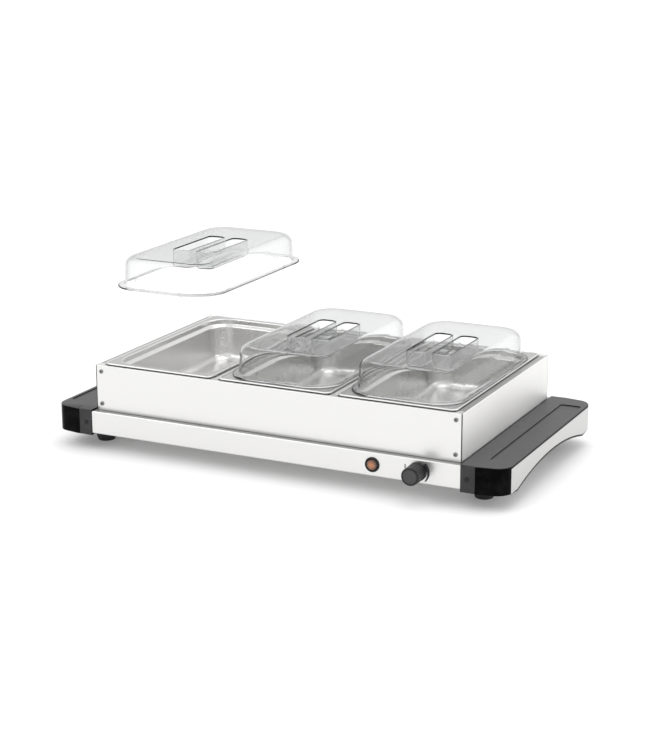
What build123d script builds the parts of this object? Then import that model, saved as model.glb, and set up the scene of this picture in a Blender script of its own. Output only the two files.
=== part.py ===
"""Electric buffet server: a warming base that carries a lift-off frame with three food pans and lids.

Frame: millimetres, +Z up, origin on the floor under the middle of the object. +X runs along the
row of pans and -Y is the front, where the knob and the lamp are. The left lid is held up above its
pan. Every piece is one node in parts/.
"""

import os

from build123d import *

# ---------------------------------------------------------------- driving dimensions
sheet = 1.0  # stainless sheet of the base and the frame
sheet_clearance = 0.2  # between sheet pieces that slip past each other
running_clearance = 0.05  # radial, between the thermostat's shaft and its bushing
screw_clearance = 0.1  # radial, around a screw's shank or a body in its hole

# food pans
pan_width = 176.0
pan_length = 325.0
pan_gap = 10.0
pan_wall = 0.8
pan_depth = 65.0
pan_rim_width = 9.5
pan_rim_end_width = 11.0
pan_rim_drop = 3.0
pan_bead_width = 2.4
pan_bead_height = 0.8
pan_corner_radius = 9.0
pan_opening_radius = 36.0
pan_shoulder_drop = 8.0
pan_shoulder_step = 4.0
pan_draft = 4.0  # degrees
pan_bottom_radius = 12.0

# lids
lid_wall = 2.2
lid_height = 43.0
lid_bead_clearance = 0.3
lid_end_clearance = 5.0
lid_flange_radius = 46.0
lid_flange_width = 7.0
lid_flange_end_width = 10.0
lid_draft = 3.0  # degrees
lid_dome_radius = 41.0
lid_edge_radius = 14.0
lid_well_width = 26.0
lid_well_length = 112.0
lid_well_depth = 22.0
lid_well_radius = 8.0
lid_grip_bar = 13.0
lid_lug_length = 8.0
lid_lug_drop = 3.0
lid_lift = 110.0

# lift-off frame around the pans
frame_side_margin = 11.0
frame_end_margin = 5.0
frame_height = 66.0
frame_side_ledge = 6.0  # of the top flange under the pan's rim, at the sides
frame_end_ledge = 7.5  # and at the front and the back
frame_bottom_flange = 9.0
frame_return = 16.0
crossbar_width = 18.0
crossbar_height = 12.0
pad_height = 1.3
pad_radius = 4.0

# warming base
foot_height = 23.2
foot_top_radius = 17.5
foot_bottom_radius = 12.5
foot_rim = 11.0
foot_x_inset = 12.8  # from the base's end to the foot's centre
foot_y = 122.0
base_ground_clearance = 26.7
base_height = 32.7
base_side_margin = 2.5
ledge = 11.0
base_flange = 12.0
bend_radius = 1.6
vent_width = 4.0
control_rise = 15.8  # of the knob, the lamp and the cable entry above the base's bottom
control_bay = 46.0  # room behind the front panel for the thermostat and the lamp
lamp_x = 160.0
knob_x = 226.5
gland_x = 190.0

# heater
heater_margin = 16.0
heater_tracks = 9
track_gap = 6.0
mat_thickness = 1.2
insulation_thickness = 9.0
spacer_radius = 4.0
cutout_radius = 8.0
cutout_height = 7.0

# handles
handle_width = 64.5
handle_rise = 2.0  # above the warming plate
handle_end_overhang = 1.5  # past the base's front
handle_base_gap = 0.4
handle_wall = 3.0
handle_top_wall = 4.0
handle_lug_width = 21.0
handle_lug_recess = 0.6
handle_end_sweep = 7.0
handle_corner_radius = 18.0
handle_edge_radius = 1.2
handle_pad_margin = 6.0  # from the grip pad to the outer side
handle_arch_height = 17.0
handle_arch_reach = 134.0
handle_pad_depth = 1.2
handle_pad_inset = 27.0
handle_pad_reach = 144.0
handle_pad_radius = 5.0
handle_boss_radius = 9.0
handle_screw_inset = 9.5
handle_screw_rise = 18.5  # above the handle's bottom
band_thickness = 1.0
band_top_margin = 3.5
band_reach = 158.0

# knob, thermostat, lamp and cable entry
knob_radius = 13.3
knob_length = 25.5
knob_gap = 1.5
knob_taper = 1.0  # degrees
knob_flutes = 20
knob_flute_radius = 1.3
knob_wall = 2.2
shaft_radius = 3.0
bushing_radius = 5.0
bushing_reach = 5.0
nut_across_flats = 14.0
nut_height = 2.4
thermostat_width = 34.0
thermostat_height = 24.0
thermostat_depth = 22.0
lamp_radius = 10.6
lamp_bezel_reach = 2.4
lamp_lens_radius = 8.6
lamp_lens_reach = 4.6
lamp_body_radius = 7.0
lamp_body_depth = 26.0
tab_width = 6.3  # push-on terminals of the thermostat and the lamp
tab_thickness = 0.8
tab_length = 8.0
terminal_pitch = 10.0
terminal_size = 14.0
terminal_bore = 4.0
terminal_offset = 50.0  # from the cable entry towards the middle
gland_neck_radius = 6.5
gland_radius = 9.0
gland_bore_radius = 3.8

# screws
screw_radius = 1.5
screw_head_radius = 3.2
screw_head_height = 1.6
screw_slot_width = 0.9
frame_screw_inset = 9.0

# ---------------------------------------------------------------- derived sizes
pan_pitch = pan_width + pan_gap
pan_centres = {"left": -pan_pitch, "middle": 0.0, "right": pan_pitch}
frame_length = 3 * pan_width + 2 * pan_gap + 2 * frame_side_margin
frame_depth = pan_length + 2 * frame_end_margin
frame_end = frame_length / 2
frame_front = frame_depth / 2
base_length = frame_length + 2 * base_side_margin
base_depth = frame_depth + 2 * ledge
base_end = base_length / 2
base_front = base_depth / 2
base_top = base_ground_clearance + base_height
frame_bottom = base_top + pad_height
frame_top = frame_bottom + frame_height
rim_top = frame_top + pan_rim_drop
rim_flat = rim_top - pan_bead_height
control_height = base_ground_clearance + control_rise
knob_reach = knob_gap + knob_length
handle_top = base_top + handle_rise
handle_height = handle_top - foot_height
handle_inner = base_end + handle_base_gap
handle_outer = base_end + handle_width
handle_end = base_front + handle_end_overhang
handle_screw_x = base_end + handle_screw_inset
handle_screw_height = foot_height + handle_screw_rise
foot_x = base_end + foot_x_inset
foot_spots = {
    "front_left": (-foot_x, -foot_y),
    "front_right": (foot_x, -foot_y),
    "back_left": (-foot_x, foot_y),
    "back_right": (foot_x, foot_y),
}

os.makedirs("parts", exist_ok=True)


# ---------------------------------------------------------------- helpers
def save(part: Part, name: str) -> None:
    """Label a finished piece and write it as one node."""
    part.label = name
    export_step(part, f"parts/{name}.step")


def front_plane(y: float, x: float = 0.0, z: float = 0.0) -> Plane:
    """A plane that faces the front, with local axes +X and +Z."""
    return Plane(origin=(x, y, z), x_dir=(1, 0, 0), z_dir=(0, -1, 0))


def back_plane(y: float, x: float = 0.0, z: float = 0.0) -> Plane:
    """A plane that faces the back, with local axes -X and +Z."""
    return Plane(origin=(x, y, z), x_dir=(-1, 0, 0), z_dir=(0, 1, 0))


def up_plane(z: float, x: float = 0.0, y: float = 0.0) -> Plane:
    """A plane that faces up."""
    return Plane(origin=(x, y, z), x_dir=(1, 0, 0), z_dir=(0, 0, 1))


def down_plane(z: float, x: float = 0.0, y: float = 0.0) -> Plane:
    """A plane that faces down."""
    return Plane(origin=(x, y, z), x_dir=(1, 0, 0), z_dir=(0, 0, -1))


def mirrored(part: Part, about: Plane = Plane.YZ) -> Part:
    """The same piece for the other side of the object."""
    with BuildPart() as twin:
        mirror(part, about=about)
    return twin.part


def block(low: tuple, high: tuple) -> Part:
    """A plain box between two corners."""
    with BuildPart() as solid:
        with BuildSketch(up_plane(low[2])):
            with Locations(((low[0] + high[0]) / 2, (low[1] + high[1]) / 2)):
                Rectangle(high[0] - low[0], high[1] - low[1])
        extrude(amount=high[2] - low[2])
    return solid.part


def pan_head_screw(plane: Plane, shank_length: float) -> Part:
    """A cross-recessed screw: its head stands on the plane and its shank goes in behind."""
    with BuildPart() as screw:
        with BuildSketch(plane):
            Circle(screw_head_radius)
        extrude(amount=screw_head_height)
        outer_face = screw.faces().sort_by(Axis(plane.origin, plane.z_dir))[-1]
        fillet(outer_face.edges(), 0.6 * screw_head_height)
        with BuildSketch(plane):
            Circle(screw_radius)
        extrude(amount=-shank_length)
        with BuildSketch(plane.offset(screw_head_height)):
            Rectangle(screw_head_radius, screw_slot_width)
            Rectangle(screw_slot_width, screw_head_radius)
        extrude(amount=-screw_head_height / 2, mode=Mode.SUBTRACT)
    return screw.part


# ---------------------------------------------------------------- warming base: sheet metal
skirt_inside = base_front - sheet
flange_top = base_ground_clearance + 2 * sheet
bottom_screw_y = skirt_inside - base_flange / 2
bottom_screw_x = (lamp_x + knob_x) / 2  # clear of the lamp's and the thermostat's bodies
bottom_screw_spots = [
    (x * bottom_screw_x, y * bottom_screw_y) for x in (-1, 0, 1) for y in (-1, 1)
]

with BuildPart() as base_cover:
    # An inverted channel: warming plate, front and back panels, and the flanges below
    with BuildSketch(Plane.YZ):
        with Locations((0, base_top)):
            Rectangle(base_depth, base_height - sheet, align=(Align.CENTER, Align.MAX))
        with BuildLine():
            Polyline(
                (-skirt_inside + base_flange, base_ground_clearance),
                (-skirt_inside + base_flange, flange_top),
                (-skirt_inside, flange_top),
                (-skirt_inside, base_top - sheet),
                (skirt_inside, base_top - sheet),
                (skirt_inside, flange_top),
                (skirt_inside - base_flange, flange_top),
                (skirt_inside - base_flange, base_ground_clearance),
                close=True,
            )
        make_face(mode=Mode.SUBTRACT)
    extrude(amount=base_end, both=True)
    fillet(base_cover.edges().filter_by(Axis.X).group_by(Axis.Z)[-1], bend_radius)
    with BuildSketch(front_plane(-base_front)):
        with Locations((lamp_x, control_height)):
            Circle(lamp_body_radius + screw_clearance)
        with Locations((knob_x, control_height)):
            Circle(bushing_radius + screw_clearance)
    extrude(amount=-2 * sheet, mode=Mode.SUBTRACT)
    with BuildSketch(back_plane(base_front, gland_x, control_height)):
        Circle(gland_neck_radius + screw_clearance)
    extrude(amount=-2 * sheet, mode=Mode.SUBTRACT)
    with BuildSketch(up_plane(flange_top)):
        with Locations(*bottom_screw_spots):
            Circle(screw_radius + screw_clearance)
    extrude(amount=-2 * sheet, mode=Mode.SUBTRACT)
save(base_cover.part, "base_cover")

with BuildPart() as bottom_plate:
    with BuildSketch(up_plane(base_ground_clearance)):
        Rectangle(base_length, base_depth)
        with GridLocations(base_length / 4, base_depth / 5, 3, 3):
            SlotOverall(base_length / 8, vent_width, mode=Mode.SUBTRACT)
        with Locations(*bottom_screw_spots):
            Circle(screw_radius + screw_clearance, mode=Mode.SUBTRACT)
    extrude(amount=sheet)
save(bottom_plate.part, "bottom_plate")

with BuildPart() as bottom_screws:
    for x, y in bottom_screw_spots:
        add(pan_head_screw(down_plane(base_ground_clearance, x, y), 4 * sheet))
save(bottom_screws.part, "bottom_screws")

# The end plates close the cover's ends, and their ears carry the handles
ear_reach = base_end + 0.85 * handle_lug_width
ear_face = handle_end - handle_lug_recess - handle_wall
plate_face = base_end - sheet
plate_bottom = flange_top + sheet_clearance
plate_top = base_top - sheet - sheet_clearance
with BuildPart() as end_plate_right:
    add(block((plate_face - sheet, -ear_face, plate_bottom), (plate_face, ear_face, plate_top)))
    for side in (-1, 1):
        ear_low = min(side * ear_face, side * (ear_face - sheet))
        add(block((plate_face, ear_low, plate_bottom), (ear_reach, ear_low + sheet, plate_top)))
    with BuildSketch(front_plane(-base_front, handle_screw_x, handle_screw_height)):
        Circle(screw_radius + screw_clearance)
    extrude(amount=-base_depth, mode=Mode.SUBTRACT)
save(end_plate_right.part, "end_plate_right")
save(mirrored(end_plate_right.part), "end_plate_left")

# ---------------------------------------------------------------- warming base: heater
heater_top = base_top - sheet
heater_half = base_end - heater_margin
heater_length = 2 * heater_half
heater_front = -base_front + control_bay
heater_back = base_front - heater_margin
heater_depth = heater_back - heater_front
heater_middle = (heater_front + heater_back) / 2
track_pitch = heater_depth / heater_tracks
pad_top = heater_top - mat_thickness
tray_top = pad_top - insulation_thickness
tray_bottom = tray_top - sheet

with BuildPart() as heating_mat:
    # One flat track runs to and fro under the warming plate
    with BuildSketch(down_plane(heater_top, 0, heater_middle)):
        Rectangle(heater_length, heater_depth)
        for index in range(1, heater_tracks):
            side = 1 if index % 2 else -1
            with Locations((side * track_pitch / 2, index * track_pitch - heater_depth / 2)):
                Rectangle(heater_length - track_pitch, track_gap, mode=Mode.SUBTRACT)
    extrude(amount=mat_thickness)
save(heating_mat.part, "heating_mat")

with BuildPart() as insulation_pad:
    with BuildSketch(down_plane(pad_top, 0, heater_middle)):
        RectangleRounded(heater_length, heater_depth, track_pitch / 4)
    extrude(amount=insulation_thickness)
save(insulation_pad.part, "insulation_pad")

with BuildPart() as clamp_plate:
    with BuildSketch(down_plane(tray_top, 0, heater_middle)):
        RectangleRounded(heater_length, heater_depth, track_pitch / 4)
        with GridLocations(heater_length / 3, heater_depth / 3, 3, 2):
            SlotOverall(heater_length / 6, vent_width, mode=Mode.SUBTRACT)
    extrude(amount=sheet)
save(clamp_plate.part, "clamp_plate")

with BuildPart() as clamp_spacers:
    with BuildSketch(down_plane(tray_bottom, 0, heater_middle)):
        with GridLocations(1.4 * heater_half, 0.6 * heater_depth, 2, 2):
            Circle(spacer_radius)
            Circle(screw_radius, mode=Mode.SUBTRACT)
    extrude(amount=tray_bottom - base_ground_clearance - sheet)
save(clamp_spacers.part, "clamp_spacers")

with BuildPart() as thermal_cutout:
    with BuildSketch(down_plane(tray_bottom, 0.25 * heater_half, heater_middle)):
        Circle(cutout_radius)
    extrude(amount=cutout_height)
    with BuildSketch(down_plane(tray_bottom, 0.25 * heater_half, heater_middle)):
        SlotOverall(4 * cutout_radius, cutout_radius)
    extrude(amount=sheet)
save(thermal_cutout.part, "thermal_cutout")

# ---------------------------------------------------------------- handles
def handle_outline() -> Sketch:
    """The handle's plan: straight lugs, swept ends, rounded corners and a straight outer side."""
    with BuildSketch(up_plane(foot_height)) as outline:
        with BuildLine():
            Polyline(
                (handle_inner, -handle_end),
                (handle_inner + handle_lug_width, -handle_end),
                (handle_outer, -handle_end + handle_end_sweep),
                (handle_outer, handle_end - handle_end_sweep),
                (handle_inner + handle_lug_width, handle_end),
                (handle_inner, handle_end),
                close=True,
            )
        make_face()
        fillet(outline.vertices().group_by(Axis.X)[-1], handle_corner_radius)
        fillet(outline.vertices().filter_by_position(
            Axis.X, handle_inner + handle_lug_width - 1, handle_inner + handle_lug_width + 1
        ), 4 * handle_corner_radius)
    return outline.sketch


def arch_cutter(low_x: float, high_x: float) -> Part:
    """The space under the arched lower edge of the handle's outer side."""
    foot = foot_height
    with BuildPart() as cutter:
        with BuildSketch(Plane(origin=(low_x, 0, 0), x_dir=(0, 1, 0), z_dir=(1, 0, 0))):
            with BuildLine():
                Spline(
                    (-handle_arch_reach, foot),
                    (-0.73 * handle_arch_reach, foot + 0.47 * handle_arch_height),
                    (0, foot + handle_arch_height),
                    (0.73 * handle_arch_reach, foot + 0.47 * handle_arch_height),
                    (handle_arch_reach, foot),
                    tangents=((1, 0), (1, 0)),
                )
                Polyline(
                    (-handle_arch_reach, foot),
                    (-handle_arch_reach, foot - 1),
                    (handle_arch_reach, foot - 1),
                    (handle_arch_reach, foot),
                )
            make_face()
        extrude(amount=high_x - low_x)
    return cutter.part


with BuildPart() as band_right:
    # A thin steel strip let into the handle's outer side
    extrude(handle_outline(), amount=handle_height - band_top_margin)
    with BuildSketch(up_plane(foot_height)):
        add(handle_outline())
        offset(amount=-band_thickness, kind=Kind.INTERSECTION)
    extrude(amount=handle_height, mode=Mode.SUBTRACT)
    keep_low = handle_outer - handle_corner_radius / 2
    with BuildSketch(up_plane(foot_height)):
        with Locations((keep_low, 0)):
            Rectangle(handle_width, 2 * band_reach, align=(Align.MIN, Align.CENTER))
    extrude(amount=handle_height, mode=Mode.INTERSECT)
    add(arch_cutter(keep_low, handle_outer + 1), mode=Mode.SUBTRACT)
save(band_right.part, "handle_band_right")
save(mirrored(band_right.part), "handle_band_left")

cavity_low = handle_inner + handle_wall
cavity_high = handle_outer - handle_wall - band_thickness
cavity_end = handle_end - handle_end_sweep - handle_wall
with BuildPart() as handle_right:
    extrude(handle_outline(), amount=handle_height)
    top_edges = handle_right.edges().group_by(Axis.Z)[-1]
    fillet(top_edges.filter_by(lambda edge: edge.center().X > handle_inner + 1), handle_edge_radius)
    # the grip pad, sunk a little below the top
    grip_low = handle_inner + handle_pad_inset
    grip_high = handle_outer - handle_pad_margin
    with BuildSketch(up_plane(handle_top, (grip_low + grip_high) / 2)):
        RectangleRounded(grip_high - grip_low, 2 * handle_pad_reach, handle_pad_radius)
    extrude(amount=-handle_pad_depth, mode=Mode.SUBTRACT)
    # the hollow underside
    with BuildSketch(up_plane(foot_height, (cavity_low + cavity_high) / 2)):
        RectangleRounded(cavity_high - cavity_low, 2 * cavity_end, handle_wall)
    extrude(amount=handle_height - handle_top_wall - handle_pad_depth, mode=Mode.SUBTRACT)
    with BuildSketch(up_plane(foot_height)):
        with Locations((foot_x, -foot_y), (foot_x, foot_y)):
            Circle(handle_boss_radius)
            Circle(screw_radius + screw_clearance, mode=Mode.SUBTRACT)
    extrude(amount=handle_height - handle_top_wall)
    # room for the end plate's ears, and the lugs that the screws hold
    for side in (-1, 1):
        room_low = min(side * ear_face, side * (ear_face - 6 * sheet))
        add(
            block(
                (handle_inner - 1, room_low, plate_bottom - sheet_clearance),
                (ear_reach + sheet, room_low + 6 * sheet, plate_top + sheet_clearance),
            ),
            mode=Mode.SUBTRACT,
        )
        lug_low = min(side * handle_end, side * (handle_end - handle_lug_recess))
        add(
            block(
                (handle_inner - 1, lug_low, foot_height - 1),
                (handle_inner + handle_lug_width - 1, lug_low + handle_lug_recess, base_top),
            ),
            mode=Mode.SUBTRACT,
        )
    with BuildSketch(front_plane(-handle_end, handle_screw_x, handle_screw_height)):
        Circle(screw_radius + screw_clearance)
    extrude(amount=-2 * handle_end, mode=Mode.SUBTRACT)
    add(arch_cutter(cavity_high - 1, handle_outer + 1), mode=Mode.SUBTRACT)
    add(band_right.part, mode=Mode.SUBTRACT)
save(handle_right.part, "handle_right")
save(mirrored(handle_right.part), "handle_left")

lug_face = handle_end - handle_lug_recess
with BuildPart() as handle_screws:
    for x in (-handle_screw_x, handle_screw_x):
        shank = handle_wall + 2 * sheet
        add(pan_head_screw(front_plane(-lug_face, x, handle_screw_height), shank))
        add(pan_head_screw(back_plane(lug_face, x, handle_screw_height), shank))
save(handle_screws.part, "handle_screws")

# ---------------------------------------------------------------- feet
recess_radius = screw_head_radius + 1.0
recess_depth = foot_height / 2
for spot, (x, y) in foot_spots.items():
    with BuildPart() as foot:
        with BuildSketch(down_plane(foot_height, x, y)):
            Circle(foot_top_radius)
        extrude(amount=foot_rim)
        with BuildSketch(down_plane(foot_height - foot_rim, x, y)):
            Circle(foot_top_radius - 1)
        with BuildSketch(down_plane(0, x, y)):
            Circle(foot_bottom_radius)
        loft()
        fillet(foot.edges().group_by(Axis.Z)[0], 1.5)
        with BuildSketch(down_plane(recess_depth, x, y)):
            Circle(recess_radius)
        extrude(amount=recess_depth, mode=Mode.SUBTRACT)
        with BuildSketch(down_plane(foot_height, x, y)):
            Circle(screw_radius + screw_clearance)
        extrude(amount=foot_height, mode=Mode.SUBTRACT)
    save(foot.part, f"foot_{spot}")

with BuildPart() as foot_screws:
    for x, y in foot_spots.values():
        add(pan_head_screw(down_plane(recess_depth, x, y), foot_height))
save(foot_screws.part, "foot_screws")

# ---------------------------------------------------------------- thermostat and knob
case_front = -skirt_inside + nut_height
case_back = case_front + thermostat_depth
knob_back = -base_front - knob_gap
knob_front = knob_back - knob_length
shaft_back = case_front + thermostat_depth / 2
shaft_front = knob_front + knob_wall

with BuildPart() as thermostat_case:
    with BuildSketch(back_plane(case_front, knob_x, control_height)):
        RectangleRounded(thermostat_width, thermostat_height, 2)
    extrude(amount=thermostat_depth)
    with BuildSketch(back_plane(case_back, knob_x, control_height)):
        with GridLocations(thermostat_width / 3, 0, 3, 1):
            Rectangle(tab_thickness, tab_width)
    extrude(amount=tab_length)
    with BuildSketch(back_plane(case_front, knob_x, control_height)):
        Circle(shaft_radius + sheet_clearance)
    extrude(amount=thermostat_depth / 2 + 1, mode=Mode.SUBTRACT)
save(thermostat_case.part, "thermostat_case")

with BuildPart() as thermostat_bushing:
    with BuildSketch(front_plane(case_front, knob_x, control_height)):
        Circle(bushing_radius)
    extrude(amount=nut_height + sheet + knob_gap + bushing_reach)
    with BuildSketch(front_plane(case_front, knob_x, control_height)):
        Circle(shaft_radius + running_clearance)
    extrude(amount=2 * knob_length, mode=Mode.SUBTRACT)
save(thermostat_bushing.part, "thermostat_bushing")

with BuildPart() as bushing_nut:
    with BuildSketch(back_plane(-skirt_inside, knob_x, control_height)):
        RegularPolygon(nut_across_flats / 2, 6, major_radius=False)
        Circle(bushing_radius, mode=Mode.SUBTRACT)
    extrude(amount=nut_height)
save(bushing_nut.part, "bushing_nut")

bushing_front = -base_front - knob_gap - bushing_reach
with BuildPart() as knob:
    with BuildSketch(front_plane(knob_back, knob_x, control_height)):
        Circle(knob_radius)
    extrude(amount=knob_length, taper=knob_taper)
    fillet(knob.edges().sort_by(Axis.Y)[0], 1.4)
    # grip flutes around the body, stopping short of the front face
    with BuildSketch(front_plane(knob_back, knob_x, control_height)):
        with PolarLocations(knob_radius + 0.55 * knob_flute_radius, knob_flutes):
            Circle(knob_flute_radius)
    extrude(amount=0.86 * knob_length, mode=Mode.SUBTRACT)
    # hollow back with a hub that holds the shaft
    with BuildSketch(front_plane(knob_back, knob_x, control_height)):
        Circle(knob_radius - knob_flute_radius - knob_wall)
    extrude(amount=bushing_reach + sheet, mode=Mode.SUBTRACT)
    with BuildSketch(front_plane(bushing_front - sheet, knob_x, control_height)):
        Circle(shaft_radius)
    extrude(amount=bushing_front - sheet - shaft_front, mode=Mode.SUBTRACT)
save(knob.part, "knob")

with BuildPart() as thermostat_shaft:
    with BuildSketch(front_plane(shaft_back, knob_x, control_height)):
        Circle(shaft_radius)
    extrude(amount=shaft_back - shaft_front)
save(thermostat_shaft.part, "thermostat_shaft")

# ---------------------------------------------------------------- lamp
with BuildPart() as lamp_body:
    with BuildSketch(back_plane(-base_front, lamp_x, control_height)):
        Circle(lamp_body_radius)
    extrude(amount=lamp_body_depth)
    with BuildSketch(back_plane(-base_front + lamp_body_depth, lamp_x, control_height)):
        with GridLocations(0, lamp_body_radius, 1, 2):
            Rectangle(tab_width, tab_thickness)
    extrude(amount=tab_length)
save(lamp_body.part, "lamp_body")

with BuildPart() as lamp_bezel:
    with BuildSketch(front_plane(-base_front, lamp_x, control_height)):
        Circle(lamp_radius)
    extrude(amount=lamp_bezel_reach)
    fillet(lamp_bezel.edges().sort_by(Axis.Y)[0], 0.7 * lamp_bezel_reach)
    with BuildSketch(front_plane(-base_front, lamp_x, control_height)):
        Circle(lamp_lens_radius)
    extrude(amount=lamp_bezel_reach, mode=Mode.SUBTRACT)
save(lamp_bezel.part, "lamp_bezel")

with BuildPart() as lamp_lens:
    with BuildSketch(front_plane(-base_front, lamp_x, control_height)):
        Circle(lamp_lens_radius)
    extrude(amount=lamp_lens_reach)
    fillet(lamp_lens.edges().sort_by(Axis.Y)[0], 0.85 * lamp_lens_reach)
save(lamp_lens.part, "lamp_lens")

with BuildPart() as lamp_clip:
    with BuildSketch(back_plane(-skirt_inside, lamp_x, control_height)):
        Circle(lamp_radius)
        Circle(lamp_body_radius, mode=Mode.SUBTRACT)
    extrude(amount=1.5 * sheet)
save(lamp_clip.part, "lamp_clip")

# ---------------------------------------------------------------- cable entry and terminals
gland_reach = knob_reach  # the gland stands out at the back as far as the knob does at the front
gland_neck = nut_height + 2 * sheet
gland_hexagon = 0.25 * gland_reach
gland_tip_radius = 0.66 * gland_radius
with BuildPart() as cable_gland:
    with BuildSketch(back_plane(base_front - gland_neck, gland_x, control_height)):
        Circle(gland_neck_radius)
    extrude(amount=gland_neck)
    with BuildSketch(back_plane(base_front, gland_x, control_height)):
        RegularPolygon(gland_radius, 6, major_radius=False)
    extrude(amount=gland_hexagon)
    with BuildSketch(back_plane(base_front + gland_hexagon, gland_x, control_height)):
        Circle(gland_radius)
    with BuildSketch(back_plane(base_front + gland_reach, gland_x, control_height)):
        Circle(gland_tip_radius)
    loft()
    with BuildSketch(back_plane(base_front - gland_neck, gland_x, control_height)):
        Circle(gland_bore_radius)
    extrude(amount=gland_neck + gland_reach, mode=Mode.SUBTRACT)
save(cable_gland.part, "cable_gland")

with BuildPart() as gland_nut:
    with BuildSketch(front_plane(skirt_inside, gland_x, control_height)):
        RegularPolygon(gland_radius, 6, major_radius=False)
        Circle(gland_neck_radius, mode=Mode.SUBTRACT)
    extrude(amount=nut_height)
save(gland_nut.part, "gland_nut")

with BuildPart() as terminal_block:
    # three ways, each with a wire entry through it
    terminal_x = gland_x - terminal_offset
    terminal_y = heater_back - 2 * terminal_size
    with BuildSketch(up_plane(base_ground_clearance + sheet, terminal_x, terminal_y)):
        Rectangle(3 * terminal_pitch, terminal_size)
    extrude(amount=terminal_size)
    entry_height = base_ground_clearance + sheet + terminal_size / 3
    with BuildSketch(front_plane(terminal_y - terminal_size, terminal_x, entry_height)):
        with GridLocations(terminal_pitch, 0, 3, 1):
            Circle(terminal_bore / 2)
    extrude(amount=-2 * terminal_size, mode=Mode.SUBTRACT)
save(terminal_block.part, "terminal_block")

# ---------------------------------------------------------------- lift-off frame
rim_end = pan_length / 2
flange_end_inner = rim_end - frame_end_ledge
flange_side_inner = pan_pitch + pan_width / 2 - frame_side_ledge
side_return_y = frame_front - sheet
screw_x = frame_end - frame_screw_inset
screw_heights = (frame_bottom + frame_screw_inset, frame_top - frame_screw_inset)

with BuildPart() as frame_front_panel:
    add(block((-frame_end, -frame_front, frame_bottom), (frame_end, -side_return_y, frame_top)))
    add(
        block(
            (-frame_end + sheet, -frame_front, frame_top - sheet),
            (frame_end - sheet, -flange_end_inner, frame_top),
        )
    )
    add(
        block(
            (-frame_end + frame_return, -frame_front, frame_bottom),
            (frame_end - frame_return, -frame_front + frame_bottom_flange, frame_bottom + sheet),
        )
    )
    with BuildSketch(front_plane(-frame_front)):
        for height in screw_heights:
            with Locations((-screw_x, height), (screw_x, height)):
                Circle(screw_radius + screw_clearance)
    extrude(amount=-sheet, mode=Mode.SUBTRACT)
save(frame_front_panel.part, "frame_front")
save(mirrored(frame_front_panel.part, Plane.XZ), "frame_back")

with BuildPart() as frame_right_panel:
    wall_half = side_return_y
    top = frame_top - sheet - sheet_clearance
    add(block((frame_end - sheet, -wall_half, frame_bottom), (frame_end, wall_half, frame_top)))
    # the top flange lies between those of the front and back panels
    flange_half = flange_end_inner - sheet_clearance
    add(
        block(
            (flange_side_inner, -flange_half, frame_top - sheet),
            (frame_end, flange_half, frame_top),
        )
    )
    add(
        block(
            (frame_end - frame_bottom_flange, -wall_half, frame_bottom),
            (frame_end, wall_half, frame_bottom + sheet),
        )
    )
    for side in (-1, 1):
        low = min(side * wall_half, side * (wall_half - sheet))
        add(block((frame_end - frame_return + sheet, low, frame_bottom), (frame_end, low + sheet, top)))
    with BuildSketch(front_plane(-frame_front)):
        for height in screw_heights:
            with Locations((screw_x, height)):
                Circle(screw_radius + screw_clearance)
    extrude(amount=-frame_depth, mode=Mode.SUBTRACT)
save(frame_right_panel.part, "frame_right")
save(mirrored(frame_right_panel.part), "frame_left")

bar_top = frame_top - sheet
for name, x in (("left", -pan_pitch / 2), ("right", pan_pitch / 2)):
    with BuildPart() as crossbar:
        # an inverted channel under the gap between two pans
        bar_half = crossbar_width / 2
        bar_end = side_return_y
        add(block((x - bar_half, -bar_end, bar_top - crossbar_height), (x + bar_half, bar_end, bar_top)))
        add(
            block(
                (x - bar_half + sheet, -bar_end, bar_top - crossbar_height),
                (x + bar_half - sheet, bar_end, bar_top - sheet),
            ),
            mode=Mode.SUBTRACT,
        )
    save(crossbar.part, f"crossbar_{name}")

with BuildPart() as frame_screws:
    for x in (-screw_x, screw_x):
        for height in screw_heights:
            add(pan_head_screw(front_plane(-frame_front, x, height), 4 * sheet))
            add(pan_head_screw(back_plane(frame_front, x, height), 4 * sheet))
save(frame_screws.part, "frame_screws")

with BuildPart() as frame_pads:
    pad_x = frame_end - frame_bottom_flange / 2
    with BuildSketch(up_plane(base_top)):
        with GridLocations(2 * pad_x, 0.8 * frame_depth, 2, 2):
            Circle(pad_radius)
    extrude(amount=pad_height)
save(frame_pads.part, "frame_pads")

# ---------------------------------------------------------------- food pans
opening_width = pan_width - 2 * pan_rim_width
opening_length = pan_length - 2 * pan_rim_end_width
shoulder_bottom = pan_shoulder_drop + pan_shoulder_step
pan_bottom = rim_top - pan_depth


def pan_form(centre: float, grow: float, depth: float) -> Part:
    """The pan's tapered body, grown outwards by a wall, from the rim's flat down to a depth."""
    width = opening_width + 2 * grow
    length = opening_length + 2 * grow
    radius = pan_opening_radius + grow
    step = pan_shoulder_step
    with BuildPart() as form:
        with BuildSketch(down_plane(rim_flat, centre)):
            RectangleRounded(width, length, radius)
        extrude(amount=pan_shoulder_drop)
        with BuildSketch(down_plane(rim_flat - pan_shoulder_drop, centre)):
            RectangleRounded(width, length, radius)
        extrude(amount=step, taper=45)
        with BuildSketch(down_plane(rim_flat - shoulder_bottom, centre)):
            RectangleRounded(width - 2 * step, length - 2 * step, radius - step)
        extrude(amount=depth - shoulder_bottom, taper=pan_draft)
        fillet(form.edges().group_by(Axis.Z)[0], pan_bottom_radius + grow)
    return form.part


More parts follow.
